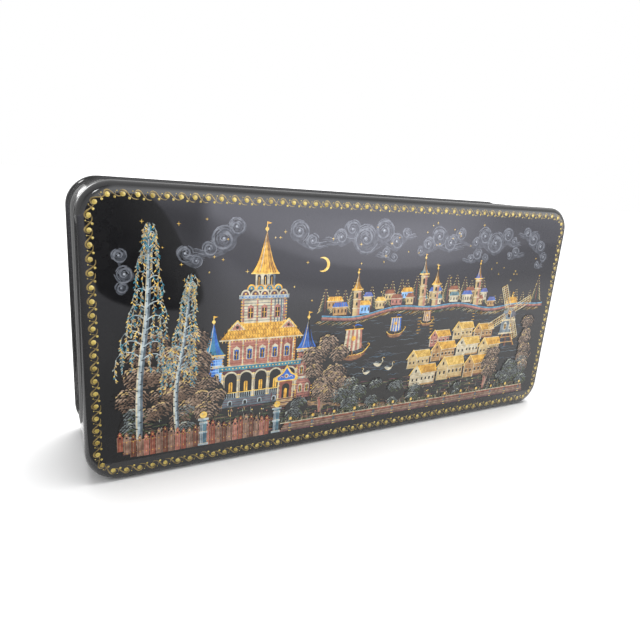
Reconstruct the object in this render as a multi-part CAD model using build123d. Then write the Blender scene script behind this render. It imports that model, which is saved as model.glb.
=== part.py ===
from build123d import *
import os
from math import radians, tan

# A hinged lacquer box of papier-mache, standing on its front long side with its lid upright.
# X runs along the box, Z up across its width, and Y through its depth, with the lid towards -Y.
# The origin is the middle of the footprint, on the surface that the box stands on.
# The walls are one wound tube, sawn in two for the body and the lid, and flat pressed boards
# that stand a little proud of it close the tube in front and behind.

# Outline that the lid board and the base board share
box_length = 200.0
box_width = 92.0
corner_radius = 12.5

# Depths of the pieces, in order from the lid's crown to the base
dome_rise = 1.8
lid_board_thickness = 4.2
lid_rim_height = 3.6
seam_gap = 0.2
body_wall_height = 31.0
base_board_thickness = 3.2

# Wound tube, and the sleeve inside it that locates the lid
board_overhang = 0.5
wall_thickness = 4.0
sleeve_thickness = 1.3
collar_height = 3.0
collar_clearance = 0.3

# Rounded and broken edges
lid_edge_radius = 2.5
lid_lip_chamfer = 0.4
base_edge_radius = 1.2
base_lip_chamfer = 0.6
collar_edge_share = 0.35  # of the sleeve's thickness

# Hinge: turned knuckles on a wire pin, in a V groove whose bevels meet when the lid is fully open
opening_angle = 100.0  # degrees
stop_clearance = 1.5  # degrees
knuckle_count = 5
knuckle_pitch = 22.0
knuckle_gap = 0.3
knuckle_radius = 1.6
knuckle_proud = 0.1
knuckle_clearance = 0.2
knuckle_chamfer = 0.2
pin_radius = 0.45
pin_press = 0.02
pin_clearance = 0.05
pin_channel_clearance = 0.25
plug_length = 1.5

# Net of the dome's quartic patch, the weight of its middle point at the crown, and how far the
# dome's foot stays inside the rolled edge, so that its corners clear the board's round ones
net_shares = (-1, -0.5, 0, 0.5, 1)
middle_weight_share = 0.375
dome_margin_share = 0.3  # of the corner radius inside the rolled edge

# How far a cut runs past what it cuts
cut_overrun = 1.0

# Depths of the faces, measured along Y with the middle of the box at zero
box_depth = (
    dome_rise + lid_board_thickness + lid_rim_height + seam_gap + body_wall_height + base_board_thickness
)
crown_y = -box_depth / 2
dome_edge_y = crown_y + dome_rise
lid_board_back_y = dome_edge_y + lid_board_thickness
lid_seam_y = lid_board_back_y + lid_rim_height
body_seam_y = lid_seam_y + seam_gap
base_front_y = body_seam_y + body_wall_height
base_back_y = base_front_y + base_board_thickness

# Insets of the rings from the boards' outline
sleeve_inset = board_overhang + wall_thickness
lid_rim_thickness = wall_thickness - collar_clearance

# Hinge axis, along X in the middle of the seam, and the stations of its knuckles
axis_depth = knuckle_radius - knuckle_proud
axis_y = (lid_seam_y + body_seam_y) / 2
axis_z = box_width - board_overhang - axis_depth
bevel_angle = (opening_angle + stop_clearance) / 2
hinge_length = knuckle_count * knuckle_pitch
knuckle_length = knuckle_pitch - knuckle_gap


def slab(inset, front, back):
    """Rounded-rectangle board between two depths, set in from the boards' outline."""
    plane = Plane(origin=(0, front, box_width / 2), x_dir=(1, 0, 0), z_dir=(0, 1, 0))
    outline = RectangleRounded(box_length - 2 * inset, box_width - 2 * inset, corner_radius - inset)
    return extrude(plane * outline, back - front)


def wound_ring(inset, thickness, front, back):
    """Length of wound tube, open at both ends."""
    bore = slab(inset + thickness, front - cut_overrun, back + cut_overrun)
    return slab(inset, front, back) - bore


def rod(radius, left, length):
    """Round bar along the hinge axis, from its left end."""
    plane = Plane(origin=(left, axis_y, axis_z), x_dir=(0, 1, 0), z_dir=(1, 0, 0))
    return extrude(plane * Circle(radius), length)


def dome_face():
    """Shallow dome that leaves the flat border at a tangent: only the middle of its net is pulled."""
    margin = lid_edge_radius + dome_margin_share * (corner_radius - lid_edge_radius)
    half_length = box_length / 2 - margin
    half_width = box_width / 2 - margin
    middle_pull = dome_rise / middle_weight_share**2
    rows = []
    for along in net_shares:
        row = []
        for across in net_shares:
            pull = middle_pull if along == across == 0 else 0
            row.append((along * half_length, dome_edge_y - pull, box_width / 2 + across * half_width))
        rows.append(row)
    return Face.make_bezier_surface(rows)


def lid_board():
    """Board with a rolled front edge and a domed field, a little larger than the rim behind it."""
    board = slab(0, dome_edge_y, lid_board_back_y)
    board = fillet(board.faces().sort_by(Axis.Y)[0].edges(), lid_edge_radius)
    board = chamfer(board.faces().sort_by(Axis.Y)[-1].edges(), lid_lip_chamfer)
    return board + Solid.extrude(dome_face(), Vector(0, dome_rise + lid_board_thickness / 2, 0))


def base_board():
    """Flat board that stands proud of the walls, rounded below and broken where it meets them."""
    board = slab(0, base_front_y, base_back_y)
    board = fillet(board.faces().sort_by(Axis.Y)[-1].edges(), base_edge_radius)
    return chamfer(board.faces().sort_by(Axis.Y)[0].edges(), base_lip_chamfer)


def inner_sleeve():
    """Ring glued inside the body wall, standing up past the seam as a collar for the lid."""
    sleeve = wound_ring(sleeve_inset, sleeve_thickness, body_seam_y - collar_height, base_front_y)
    collar_edges = sleeve.faces().sort_by(Axis.Y)[0].edges()
    return fillet(collar_edges, collar_edge_share * sleeve_thickness)


def hinge_groove():
    """V groove along the back, with its point on the hinge axis and a channel that lets the pin in."""
    half_length = box_length / 2 + cut_overrun
    reach = axis_depth + cut_overrun
    half_opening = reach * tan(radians(bevel_angle))
    plane = Plane(origin=(-half_length, axis_y, axis_z), x_dir=(0, 1, 0), z_dir=(1, 0, 0))
    wedge = Polygon((0, 0), (half_opening, reach), (-half_opening, reach), align=None)
    channel = rod(pin_radius + pin_channel_clearance, -half_length, 2 * half_length)
    return extrude(plane * wedge, 2 * half_length) + channel


def station_left(station):
    """Left end of a knuckle's station along the hinge."""
    return station * knuckle_pitch - hinge_length / 2


def hinge_sockets(own_stations, other_stations):
    """Snug seats for the knuckles glued to a ring, and roomier ones for those that turn past it."""
    sockets = [
        rod(knuckle_radius, station_left(station) + knuckle_gap / 2, knuckle_length)
        for station in own_stations
    ]
    sockets += [
        rod(knuckle_radius + knuckle_clearance, station_left(station), knuckle_pitch)
        for station in other_stations
    ]
    return sockets


def hinged_ring(thickness, front, back, own_stations, other_stations):
    """Wound ring with its bevel, pin channel and knuckle sockets cut along the back edge."""
    ring = wound_ring(board_overhang, thickness, front, back) - hinge_groove()
    return ring - hinge_sockets(own_stations, other_stations)


def knuckle(station, bore_clearance):
    """One turned knuckle with its bore for the pin."""
    left = station_left(station) + knuckle_gap / 2
    barrel = rod(knuckle_radius, left, knuckle_length)
    barrel = chamfer(barrel.edges().filter_by(GeomType.CIRCLE), knuckle_chamfer)
    return barrel - rod(pin_radius + bore_clearance, left, knuckle_length)


def hinge_pieces(body_stations, lid_stations):
    """Knuckles, wire pin and the plugs that hide the pin's ends, by name."""
    pieces = {}
    for name, station in zip(("left", "centre", "right"), body_stations):
        pieces[f"body_knuckle_{name}"] = knuckle(station, pin_press)
    for name, station in zip(("left", "right"), lid_stations):
        pieces[f"lid_knuckle_{name}"] = knuckle(station, pin_clearance)
    barrel_left = knuckle_gap / 2 - hinge_length / 2
    barrel_length = hinge_length - knuckle_gap
    pin_left = barrel_left + plug_length
    pin_right = barrel_left + barrel_length - plug_length
    pieces["hinge_pin"] = rod(pin_radius, pin_left, pin_right - pin_left)
    pieces["pin_plug_left"] = rod(pin_radius + pin_press, barrel_left, plug_length)
    pieces["pin_plug_right"] = rod(pin_radius + pin_press, pin_right, plug_length)
    return pieces


def all_pieces():
    """Every piece of the box, by the name of its file."""
    body_stations = range(0, knuckle_count, 2)
    lid_stations = range(1, knuckle_count, 2)
    pieces = {
        "lid_board": lid_board(),
        "lid_rim": hinged_ring(
            lid_rim_thickness, lid_board_back_y, lid_seam_y, lid_stations, body_stations
        ),
        "body_wall": hinged_ring(
            wall_thickness, body_seam_y, base_front_y, body_stations, lid_stations
        ),
        "inner_sleeve": inner_sleeve(),
        "base_board": base_board(),
    }
    pieces.update(hinge_pieces(body_stations, lid_stations))
    return pieces


os.makedirs("parts", exist_ok=True)
for piece_name, piece in all_pieces().items():
    export_step(piece, f"parts/{piece_name}.step")
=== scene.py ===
import random
from math import ceil, cos, hypot, pi, radians, sin, sqrt

import bmesh
import bpy
from mathutils import Euler, Matrix, Quaternion, Vector


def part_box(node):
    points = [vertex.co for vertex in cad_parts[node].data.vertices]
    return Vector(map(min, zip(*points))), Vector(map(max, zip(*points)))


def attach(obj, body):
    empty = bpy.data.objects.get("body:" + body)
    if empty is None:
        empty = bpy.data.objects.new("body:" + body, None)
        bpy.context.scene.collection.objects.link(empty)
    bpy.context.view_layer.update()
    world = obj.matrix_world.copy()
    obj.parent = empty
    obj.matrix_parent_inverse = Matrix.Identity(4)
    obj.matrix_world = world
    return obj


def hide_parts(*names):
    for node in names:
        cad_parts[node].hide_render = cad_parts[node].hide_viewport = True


# A hinged lacquer box of papier-mache, standing on its front long side. X runs along the box,
# Z up across its width, and the painted lid faces -Y. Lengths are in metres, in the CAD frame.

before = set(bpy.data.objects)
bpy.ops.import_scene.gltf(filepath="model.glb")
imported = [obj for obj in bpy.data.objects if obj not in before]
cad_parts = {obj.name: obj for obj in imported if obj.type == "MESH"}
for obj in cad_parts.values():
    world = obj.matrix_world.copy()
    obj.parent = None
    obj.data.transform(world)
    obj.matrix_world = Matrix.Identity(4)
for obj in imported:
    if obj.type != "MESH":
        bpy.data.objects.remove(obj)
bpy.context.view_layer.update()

# A millimetre, and a distance that is too small to count
MM = 0.001
TINY = 0.00001

# Turn that makes what is added flat stand with its face to the front
upright = (radians(90), 0, 0)

# Round corners of the boards and walls, 2 mm tighter here than the CAD model's, which was
# finished when the photograph was measured there once more
corner_radius = 10.5 * MM

# Sizes that the pieces keep from the CAD model
dome_margin = 5.5 * MM
dome_rise = 1.8 * MM
lid_edge_radius = 2.5 * MM
lid_lip_round = 0.4 * MM
base_edge_radius = 1.2 * MM
base_lip_round = 0.6 * MM
wall_thickness = 4.0 * MM
lid_rim_thickness = 3.7 * MM
sleeve_thickness = 1.3 * MM
sleeve_edge_radius = 0.45 * MM
seam_edge_round = 0.15 * MM
opening_angle = radians(100)
stop_clearance = radians(1.5)
knuckle_count = 5
knuckle_pitch = 22.0 * MM
knuckle_gap = 0.3 * MM
knuckle_radius = 1.6 * MM
knuckle_clearance = 0.2 * MM
knuckle_round = 0.2 * MM
knuckle_bore = 0.5 * MM
pin_channel_radius = 0.7 * MM

# Coats that only this model has: the paint on the lid, and the red lacquer of the inside
paint_depth = 0.30 * MM
paint_step = 0.007 * MM
lining_thickness = 0.15 * MM
lining_gap = 0.02 * MM

# Face of the clear coat, with so many waves to the metre
coat_waves = 70
coat_wave_depth = 0.004 * MM

# Gold scroll round the lid; its bead is in millimetres, as the marks of the painting are
border_inset = 3.6 * MM
border_pitch = 4.0 * MM
border_corner = 6.8 * MM
bead_radius = 0.74
gold_relief = 0.12 * MM

# Largest cells of the painting's flat areas, in millimetres
longest_cell = 2.5
wide_cell = 6.0

# Width of the finest brush mark, in millimetres
finest_mark = 0.04

# Light from all round and from above
world_light = 0.73
sky_light = 3.3
sky_width = radians(58)
sky_aim = (-0.3, -0.18, -0.94)

# Table that the lid's gloss shows: it grows brighter with the root of its distance, up to a limit,
# is dimmed by a slanting band, and recovers beyond it
table_level = 0.8
table_gain = 1.85
table_limit = 3.8
table_band = 0.73
table_recovery = 1.37

# Camera, as fitted to the photograph's outlines
camera_place = Vector((-109.25, -174.45, 96.04)) * MM
camera_aim = Vector((-22.65, -20.0, 48.53)) * MM
camera_roll = radians(4.473)
camera_lens = 29.22

# How finely round stretches are cut
corner_segments = 18
roll_segments = 10
base_roll_segments = 6
lip_segments = 3
rim_segments = 2
dome_rings = 34
crown_share = 0.6  # of a ring's step, which is left at the crown
long_side_cuts = 47
short_side_cuts = 19
socket_sides = 32
knuckle_sides = 40
knuckle_round_segments = 4
drop_rings = 4
round_profile = 0.5

# Edges that turn less than this are shaded smooth, and rims that turn more are rounded
smooth_angle = radians(35)
rim_angle = radians(60)

# Depths and heights of the faces, from the CAD nodes
board_low, board_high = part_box("lid_board")
rim_low, rim_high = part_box("lid_rim")
wall_low, wall_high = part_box("body_wall")
base_low, base_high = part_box("base_board")
sleeve_low, sleeve_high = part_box("inner_sleeve")
knuckle_low, knuckle_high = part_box("body_knuckle_centre")
box_length = board_high.x - board_low.x
box_width = board_high.z - board_low.z
middle_z = (board_low.z + board_high.z) / 2
dome_edge_y = board_low.y + dome_rise
axis_y = (knuckle_low.y + knuckle_high.y) / 2
axis_z = (knuckle_low.z + knuckle_high.z) / 2
bevel_angle = (opening_angle + stop_clearance) / 2

# The dome of the lid, a little lower than the CAD one, to leave room for the paint
painted_rise = dome_rise - paint_depth
dome_half_length = box_length / 2 - dome_margin
dome_half_width = box_width / 2 - dome_margin


def dome_height(x, z):
    """How far the lid's dome stands out of its flat border at a place on it."""
    along = min(1, abs(x) / dome_half_length)
    across = min(1, abs(z - middle_z) / dome_half_width)
    return painted_rise * (1 - along**2) ** 2 * (1 - across**2) ** 2


# Small tools for modelling by hand


def added(name):
    """The primitive that was just added, under its name, with its place put into its mesh."""
    piece = bpy.context.object
    piece.name = piece.data.name = name
    bpy.ops.object.transform_apply(location=True, rotation=True, scale=True)
    return piece


def edit():
    bpy.ops.object.mode_set(mode="EDIT")


def leave_edit():
    bpy.ops.object.mode_set(mode="OBJECT")


def choose(kind, test):
    """Select only the vertices, edges or faces that pass a test."""
    bpy.ops.mesh.select_mode(type=kind)
    bpy.ops.mesh.select_all(action="DESELECT")
    mesh = bmesh.from_edit_mesh(bpy.context.edit_object.data)
    parts = {"VERT": mesh.verts, "EDGE": mesh.edges, "FACE": mesh.faces}[kind]
    for part in parts:
        if test(part):
            part.select_set(True)
    mesh.select_flush_mode()
    bmesh.update_edit_mesh(bpy.context.edit_object.data)


def choose_all():
    bpy.ops.mesh.select_all(action="SELECT")


def lies_at(part, axis, place):
    """True if all the corners of an edge or a face lie at a place along an axis."""
    return all(abs(corner.co[axis] - place) < TINY for corner in part.verts)


def run_along(edge, axis):
    """How far an edge runs along an axis."""
    return abs(edge.verts[0].co[axis] - edge.verts[1].co[axis])


def apply_modifier(piece, kind, **settings):
    """Add a modifier, set it and apply it."""
    modifier = piece.modifiers.new(kind.title(), kind)
    for name, value in settings.items():
        setattr(modifier, name, value)
    bpy.context.view_layer.objects.active = piece
    bpy.ops.object.modifier_apply(modifier=modifier.name)


def only(piece):
    """Make a piece the one that is selected and active."""
    bpy.ops.object.select_all(action="DESELECT")
    piece.select_set(True)
    bpy.context.view_layer.objects.active = piece


def smooth(piece):
    """Shade a piece smooth, but for its sharp edges."""
    only(piece)
    bpy.ops.object.shade_smooth_by_angle(angle=smooth_angle)


def finish_piece(piece, body, slot, *materials, replaces=()):
    """Give a piece the materials that are passed, if any, and join it to the body that carries it."""
    if materials and piece.data.materials:
        piece.data.materials.clear()
    for material in materials:
        piece.data.materials.append(material)
    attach(piece, body)
    if replaces:
        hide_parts(*replaces)


def cut_away(piece, cutter):
    """Cut a solid out of a piece."""
    apply_modifier(piece, "BOOLEAN", operation="DIFFERENCE", solver="EXACT", object=cutter)
    bpy.data.objects.remove(cutter)


# Nodes of the materials

range_entries = ("From Min", "From Max", "To Min", "To Max")


class Nodes:
    """The nodes of one material, with its shader ready for the maker's values."""

    def __init__(self, name):
        self.material = bpy.data.materials.new(name)
        self.material.use_nodes = True
        self.tree = self.material.node_tree
        self.shader = self.tree.nodes["Principled BSDF"]

    def add(self, kind, **values):
        """New node, with values for its inputs."""
        node = self.tree.nodes.new(kind)
        for name, value in values.items():
            node.inputs[name].default_value = value
        return node

    def join(self, output, entry):
        self.tree.links.new(output, entry)

    def set(self, **values):
        for name, value in values.items():
            self.shader.inputs[name.replace("_", " ")].default_value = value

    def noise(self, waves, detail, stretch=(1, 1, 1)):
        """Noise on Object coordinates, with so many waves to the metre."""
        coordinates = self.add("ShaderNodeTexCoord")
        mapping = self.add("ShaderNodeMapping", Scale=stretch)
        noise = self.add("ShaderNodeTexNoise", Scale=waves, Detail=detail)
        self.join(coordinates.outputs["Object"], mapping.inputs["Vector"])
        self.join(mapping.outputs["Vector"], noise.inputs["Vector"])
        return noise.outputs["Fac"]

    def colours(self, pattern, *stops):
        """Base colours that follow a pattern, from two (value, colour) stops."""
        ramp = self.add("ShaderNodeValToRGB")
        for element, (value, colour) in zip(ramp.color_ramp.elements, stops):
            element.position = value
            element.color = (*colour, 1)
        self.join(pattern, ramp.inputs["Fac"])
        self.join(ramp.outputs["Color"], self.shader.inputs["Base Color"])

    def roughness(self, pattern, low, high):
        """Roughness that follows a noise, whose values lie mostly between 0.3 and 0.7."""
        spread = self.add("ShaderNodeMapRange")
        for entry, value in zip(range_entries, (0.3, 0.7, low, high)):
            spread.inputs[entry].default_value = value
        self.join(pattern, spread.inputs["Value"])
        self.join(spread.outputs["Result"], self.shader.inputs["Roughness"])

    def clear_coat(self):
        """Clear coat over the finish, with a face that is not quite even."""
        self.set(Specular_IOR_Level=0.1, Coat_Weight=1.0, Coat_Roughness=0.02, Coat_IOR=1.55)
        waves = self.noise(coat_waves, 1.5)
        bump = self.add("ShaderNodeBump", Distance=coat_wave_depth)
        self.join(waves, bump.inputs["Height"])
        for entry in ("Normal", "Coat Normal"):
            self.join(bump.outputs["Normal"], self.shader.inputs[entry])


def lacquer(name, colour, cloudy_colour):
    """Hand-rubbed lacquer: deep colour under a clear coat."""
    nodes = Nodes(name)
    nodes.colours(nodes.noise(45, 4.0), (0.35, colour), (0.7, cloudy_colour))
    nodes.roughness(nodes.noise(420, 2.0), 0.22, 0.34)
    nodes.clear_coat()
    return nodes.material


black_lacquer = lacquer("black lacquer", (0.006, 0.006, 0.007), (0.009, 0.009, 0.010))
red_lacquer = lacquer("red lacquer", (0.42, 0.014, 0.010), (0.50, 0.022, 0.014))


def brass():
    """Drawn wire, a little dull, with fine draw marks along it."""
    nodes = Nodes("drawn brass wire")
    marks = nodes.noise(900, 2.0, stretch=(0.05, 1, 1))
    nodes.colours(marks, (0.3, (0.60, 0.42, 0.16)), (0.7, (0.78, 0.58, 0.26)))
    nodes.roughness(marks, 0.25, 0.42)
    nodes.set(Metallic=1.0)
    return nodes.material


brass_wire = brass()


# Boards and wound rings


def outline_loop(name, inset, depth):
    """Closed line with the boards' rounded outline, set in by some, at a depth."""
    bpy.ops.object.select_all(action="DESELECT")
    bpy.ops.mesh.primitive_plane_add(size=1, location=(0, depth, middle_z), rotation=upright)
    bpy.context.object.scale = (box_length - 2 * inset, box_width - 2 * inset, 1)
    loop = added(name)
    edit()
    choose_all()
    bpy.ops.mesh.bevel(offset=corner_radius - inset, affect="VERTICES", segments=corner_segments)
    choose_all()
    bpy.ops.mesh.delete(type="ONLY_FACE")
    for axis, cuts in ((0, long_side_cuts), (2, short_side_cuts)):
        choose("EDGE", lambda edge: run_along(edge, axis) > 3 * corner_radius)
        bpy.ops.mesh.subdivide(number_cuts=cuts)
    choose_all()
    return loop


def board(name, inset, front, back):
    """Solid board between two depths, left in edit mode."""
    plate = outline_loop(name, inset, front)
    bpy.ops.mesh.edge_face_add()
    bpy.ops.mesh.extrude_region_move(TRANSFORM_OT_translate={"value": (0, back - front, 0)})
    choose_all()
    bpy.ops.mesh.normals_make_consistent(inside=False)
    return plate


def round_face_edge(depth, radius, segments):
    """Round the edge of the flat face at a depth."""
    choose("EDGE", lambda edge: lies_at(edge, 1, depth) and len(edge.link_faces) == 2)
    bpy.ops.mesh.bevel(offset=radius, affect="EDGES", segments=segments, profile=round_profile)


def make_lid_board():
    """Board with a rolled front edge, whose field rises in a shallow dome."""
    lid = board("lid_board_lacquered", 0, dome_edge_y, board_high.y)
    round_face_edge(dome_edge_y, lid_edge_radius, roll_segments)
    round_face_edge(board_high.y, lid_lip_round, lip_segments)
    choose("FACE", lambda face: lies_at(face, 1, dome_edge_y))
    size = 1.0
    for number in range(1, dome_rings + 1):
        target = 1 - number / (dome_rings + crown_share)
        share = target / size
        size = target
        bpy.ops.mesh.extrude_region()
        bpy.ops.transform.resize(value=(share, 1, share), center_override=(0, dome_edge_y, middle_z))
    leave_edit()
    for corner in lid.data.vertices:
        if abs(corner.co.y - dome_edge_y) < TINY:
            corner.co.y -= dome_height(corner.co.x, corner.co.z)
    smooth(lid)
    finish_piece(lid, "lid", "painted_lacquer", black_lacquer, replaces=["lid_board"])


def make_base_board():
    """Board that closes the box behind, rounded at the back."""
    base = board("base_board_lacquered", 0, base_low.y, base_high.y)
    round_face_edge(base_high.y, base_edge_radius, base_roll_segments)
    round_face_edge(base_low.y, base_lip_round, lip_segments)
    leave_edit()
    smooth(base)
    finish_piece(base, "box", "black_lacquer", black_lacquer, replaces=["base_board"])


def ring(name, inset, thickness, front, back, edge_round):
    """Wound ring with its inner edges and rims softened."""
    tube = outline_loop(name, inset, front)
    bpy.ops.mesh.extrude_region()
    bpy.ops.transform.translate(value=(0, back - front, 0))
    choose_all()
    bpy.ops.mesh.normals_make_consistent(inside=False)
    leave_edit()
    apply_modifier(tube, "SOLIDIFY", thickness=thickness, offset=-1, use_even_offset=True)
    apply_modifier(
        tube, "BEVEL", width=edge_round, segments=rim_segments, limit_method="ANGLE", angle_limit=rim_angle
    )
    return tube


def bar(name, radius, left, right, sides=socket_sides):
    """Round bar along the hinge axis."""
    bpy.ops.object.select_all(action="DESELECT")
    bpy.ops.mesh.primitive_cylinder_add(
        vertices=sides,
        radius=radius,
        depth=right - left,
        location=((left + right) / 2, axis_y, axis_z),
        rotation=(0, radians(90), 0),
    )
    return added(name)


def station_left(station):
    """Left end of a knuckle's station along the hinge."""
    return station * knuckle_pitch - knuckle_count * knuckle_pitch / 2


def cut_hinge(tube, side, own_stations):
    """Bevel the back edge of a ring towards its seam, and cut the pin's channel and the sockets."""
    only(tube)
    edit()
    choose_all()
    bpy.ops.mesh.bisect(
        plane_co=(0, axis_y, axis_z),
        plane_no=(0, -side * cos(bevel_angle), sin(bevel_angle)),
        use_fill=True,
        clear_outer=True,
        threshold=0.1 * TINY,
    )
    leave_edit()
    half_length = box_length / 2
    half_gap = knuckle_gap / 2
    cut_away(tube, bar("channel", pin_channel_radius, -half_length, half_length))
    for station in range(knuckle_count):
        left = station_left(station)
        right = left + knuckle_pitch
        if station in own_stations:
            socket = bar("socket", knuckle_radius, left + half_gap, right - half_gap)
        else:
            socket = bar("socket", knuckle_radius + knuckle_clearance, left, right)
        cut_away(tube, socket)


body_stations = (0, 2, 4)
lid_stations = (1, 3)


def make_rings():
    """The lid's rim, the body's wall and the sleeve that the lid closes on."""
    overhang = box_length / 2 - wall_high.x
    rim = ring("lid_rim_lacquered", overhang, lid_rim_thickness, rim_low.y, rim_high.y, seam_edge_round)
    cut_hinge(rim, -1, lid_stations)
    wall = ring("body_wall_lacquered", overhang, wall_thickness, wall_low.y, wall_high.y, seam_edge_round)
    cut_hinge(wall, 1, body_stations)
    sleeve_inset = box_length / 2 - sleeve_high.x
    sleeve = ring(
        "sleeve_lacquered", sleeve_inset, sleeve_thickness, sleeve_low.y, sleeve_high.y, sleeve_edge_radius
    )
    for tube, body, node in ((rim, "lid", "lid_rim"), (wall, "box", "body_wall")):
        smooth(tube)
        finish_piece(tube, body, "black_lacquer", black_lacquer, replaces=[node])
    smooth(sleeve)
    finish_piece(sleeve, "box", "red_lacquer", red_lacquer, replaces=["inner_sleeve"])


def make_knuckle(name, station, body):
    """Turned knuckle with softened ends and a bore for the pin."""
    left = station_left(station) + knuckle_gap / 2
    right = left + knuckle_pitch - knuckle_gap
    knuckle = bar(f"{name}_turned", knuckle_radius, left, right, knuckle_sides)
    edit()
    choose("EDGE", lambda edge: lies_at(edge, 0, left) or lies_at(edge, 0, right))
    bpy.ops.mesh.bevel(
        offset=knuckle_round, affect="EDGES", segments=knuckle_round_segments, profile=round_profile
    )
    choose("FACE", lambda face: lies_at(face, 0, left) or lies_at(face, 0, right))
    bpy.ops.mesh.inset(thickness=knuckle_radius - knuckle_round - knuckle_bore)
    bpy.ops.mesh.bridge_edge_loops()
    leave_edit()
    smooth(knuckle)
    finish_piece(knuckle, body, "black_lacquer", black_lacquer, replaces=[name])


def make_linings():
    """Red lacquer on the floor of the box and on the underside of the lid."""
    sleeve_bore = box_length / 2 - sleeve_high.x + sleeve_thickness
    rim_bore = box_length / 2 - rim_high.x + lid_rim_thickness
    for name, bore, front, back, body in (
        ("floor_lacquer", sleeve_bore, base_low.y - lining_thickness, base_low.y, "box"),
        ("underside_lacquer", rim_bore, board_high.y, board_high.y + lining_thickness, "lid"),
    ):
        lining = board(name, bore + lining_gap, front, back)
        leave_edit()
        smooth(lining)
        finish_piece(lining, body, "red_lacquer", red_lacquer)


def dress_hinge_wire():
    """The wire pin and the plugs that hide its ends keep their CAD shapes."""
    for node, material in (
        ("hinge_pin", brass_wire),
        ("pin_plug_left", black_lacquer),
        ("pin_plug_right", black_lacquer),
    ):
        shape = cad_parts[node]
        shape.data.materials.clear()
        shape.data.materials.append(material)


make_lid_board()
make_base_board()
make_rings()
for name, station in zip(("left", "centre", "right"), body_stations):
    make_knuckle(f"body_knuckle_{name}", station, "box")
for name, station in zip(("left", "right"), lid_stations):
    make_knuckle(f"lid_knuckle_{name}", station, "lid")
make_linings()
dress_hinge_wire()


# Paints under the clear coat


def tone(red, green, blue):
    """Colour written as it shows on a screen, 0 to 255, as the shader wants it."""
    return tuple((value / 255) ** 2.2 for value in (red, green, blue))


def paint(name, deep, bright, metallic=0.0):
    """Egg tempera or gold powder under lacquer: two tones of one colour, laid unevenly."""
    nodes = Nodes(name)
    nodes.colours(nodes.noise(650, 3.0), (0.36, tone(*deep)), (0.62, tone(*bright)))
    nodes.set(Roughness=0.45, Metallic=metallic)
    nodes.clear_coat()
    return nodes.material


# Deep and bright tone of each paint, and how metallic the powder in it looks
paint_tones = {
    "pale gold": ((210, 166, 68), (242, 208, 116), 0.25),
    "gold": ((186, 132, 38), (236, 184, 74), 0.3),
    "dark gold": ((112, 76, 24), (160, 116, 44), 0.3),
    "border gold": ((146, 124, 54), (198, 176, 94), 0.45),
    "dim border gold": ((92, 78, 42), (142, 122, 74), 0.35),
    "pale wall": ((176, 150, 98), (208, 184, 132)),
    "cream": ((176, 166, 138), (216, 206, 178)),
    "ochre": ((154, 112, 60), (190, 150, 94)),
    "brick": ((118, 58, 44), (150, 84, 64)),
    "rose brick": ((150, 90, 76), (184, 124, 108)),
    "brown": ((82, 44, 30), (116, 68, 48)),
    "umber": ((114, 84, 70), (148, 118, 100)),
    "plum": ((72, 40, 46), (104, 62, 68)),
    "blue": ((26, 84, 176), (50, 116, 206)),
    "light blue": ((104, 160, 220), (156, 200, 240)),
    "teal": ((34, 98, 122), (66, 142, 160)),
    "silver": ((134, 150, 158), (182, 194, 198)),
    "dark silver": ((66, 78, 88), (98, 112, 122)),
    "gold leaf": ((158, 132, 86), (206, 178, 126)),
    "tan leaf": ((122, 100, 82), (164, 140, 120)),
    "brown leaf": ((86, 67, 54), (120, 97, 80)),
    "dark leaf": ((17, 16, 15), (30, 27, 24)),
    "green leaf": ((56, 66, 46), (88, 98, 66)),
    "grey leaf": ((76, 84, 86), (110, 118, 118)),
    "silver leaf": ((126, 134, 128), (172, 178, 166)),
    "bright cloud": ((144, 150, 160), (188, 193, 201)),
    "cloud": ((80, 84, 92), (118, 122, 130)),
    "dim cloud": ((53, 56, 62), (79, 82, 90)),
    "cloud shade": ((50, 53, 58), (73, 76, 82)),
    "water": ((40, 58, 74), (70, 92, 110)),
    "night": ((7, 7, 9), (13, 13, 16)),
}
paints = {name: paint(name, *tones) for name, tones in paint_tones.items()}


# Brush marks on the lid's plane, in millimetres


# Angles round the upper half of a circle
half_turn = [pi * i / 8 for i in range(9)]


def mark_width(shape, share):
    """Width of a brush mark at a share of its length, as a share of its full width."""
    if shape == "dab":
        return sin(pi * share) ** 0.7
    if shape == "comma":
        return min(1, 7 * share) * (1 - share) ** 0.6
    if shape == "swell":
        return 0.35 + 0.65 * sin(pi * share)
    return 1


def smooth_line(points, pieces):
    """Points of a smooth curve that passes through the given ones."""
    line = []
    last = len(points) - 1
    for i in range(last):
        before, a, b, after = (Vector(points[max(0, min(last, i + k))]) for k in (-1, 0, 1, 2))
        for k in range(pieces):
            t = k / pieces
            line.append(
                0.5
                * (
                    2 * a
                    + (b - before) * t
                    + (2 * before - 5 * a + 4 * b - after) * t * t
                    + (3 * a - before - 3 * b + after) * t**3
                )
            )
    line.append(Vector(points[last]))
    return line


def round_points(x, z, across, up, angles):
    """Points round a middle, at the given angles of an oval."""
    return [(x + across * cos(a), z + up * sin(a)) for a in angles]


def both_sides(x, points):
    """Closed outline: a smooth line up its left side to the tip, and its mirror image down the right."""
    left = smooth_line(points, 4)
    right = [(2 * x - spot.x, spot.y) for spot in reversed(left)]
    return [tuple(spot) for spot in left] + right


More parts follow.
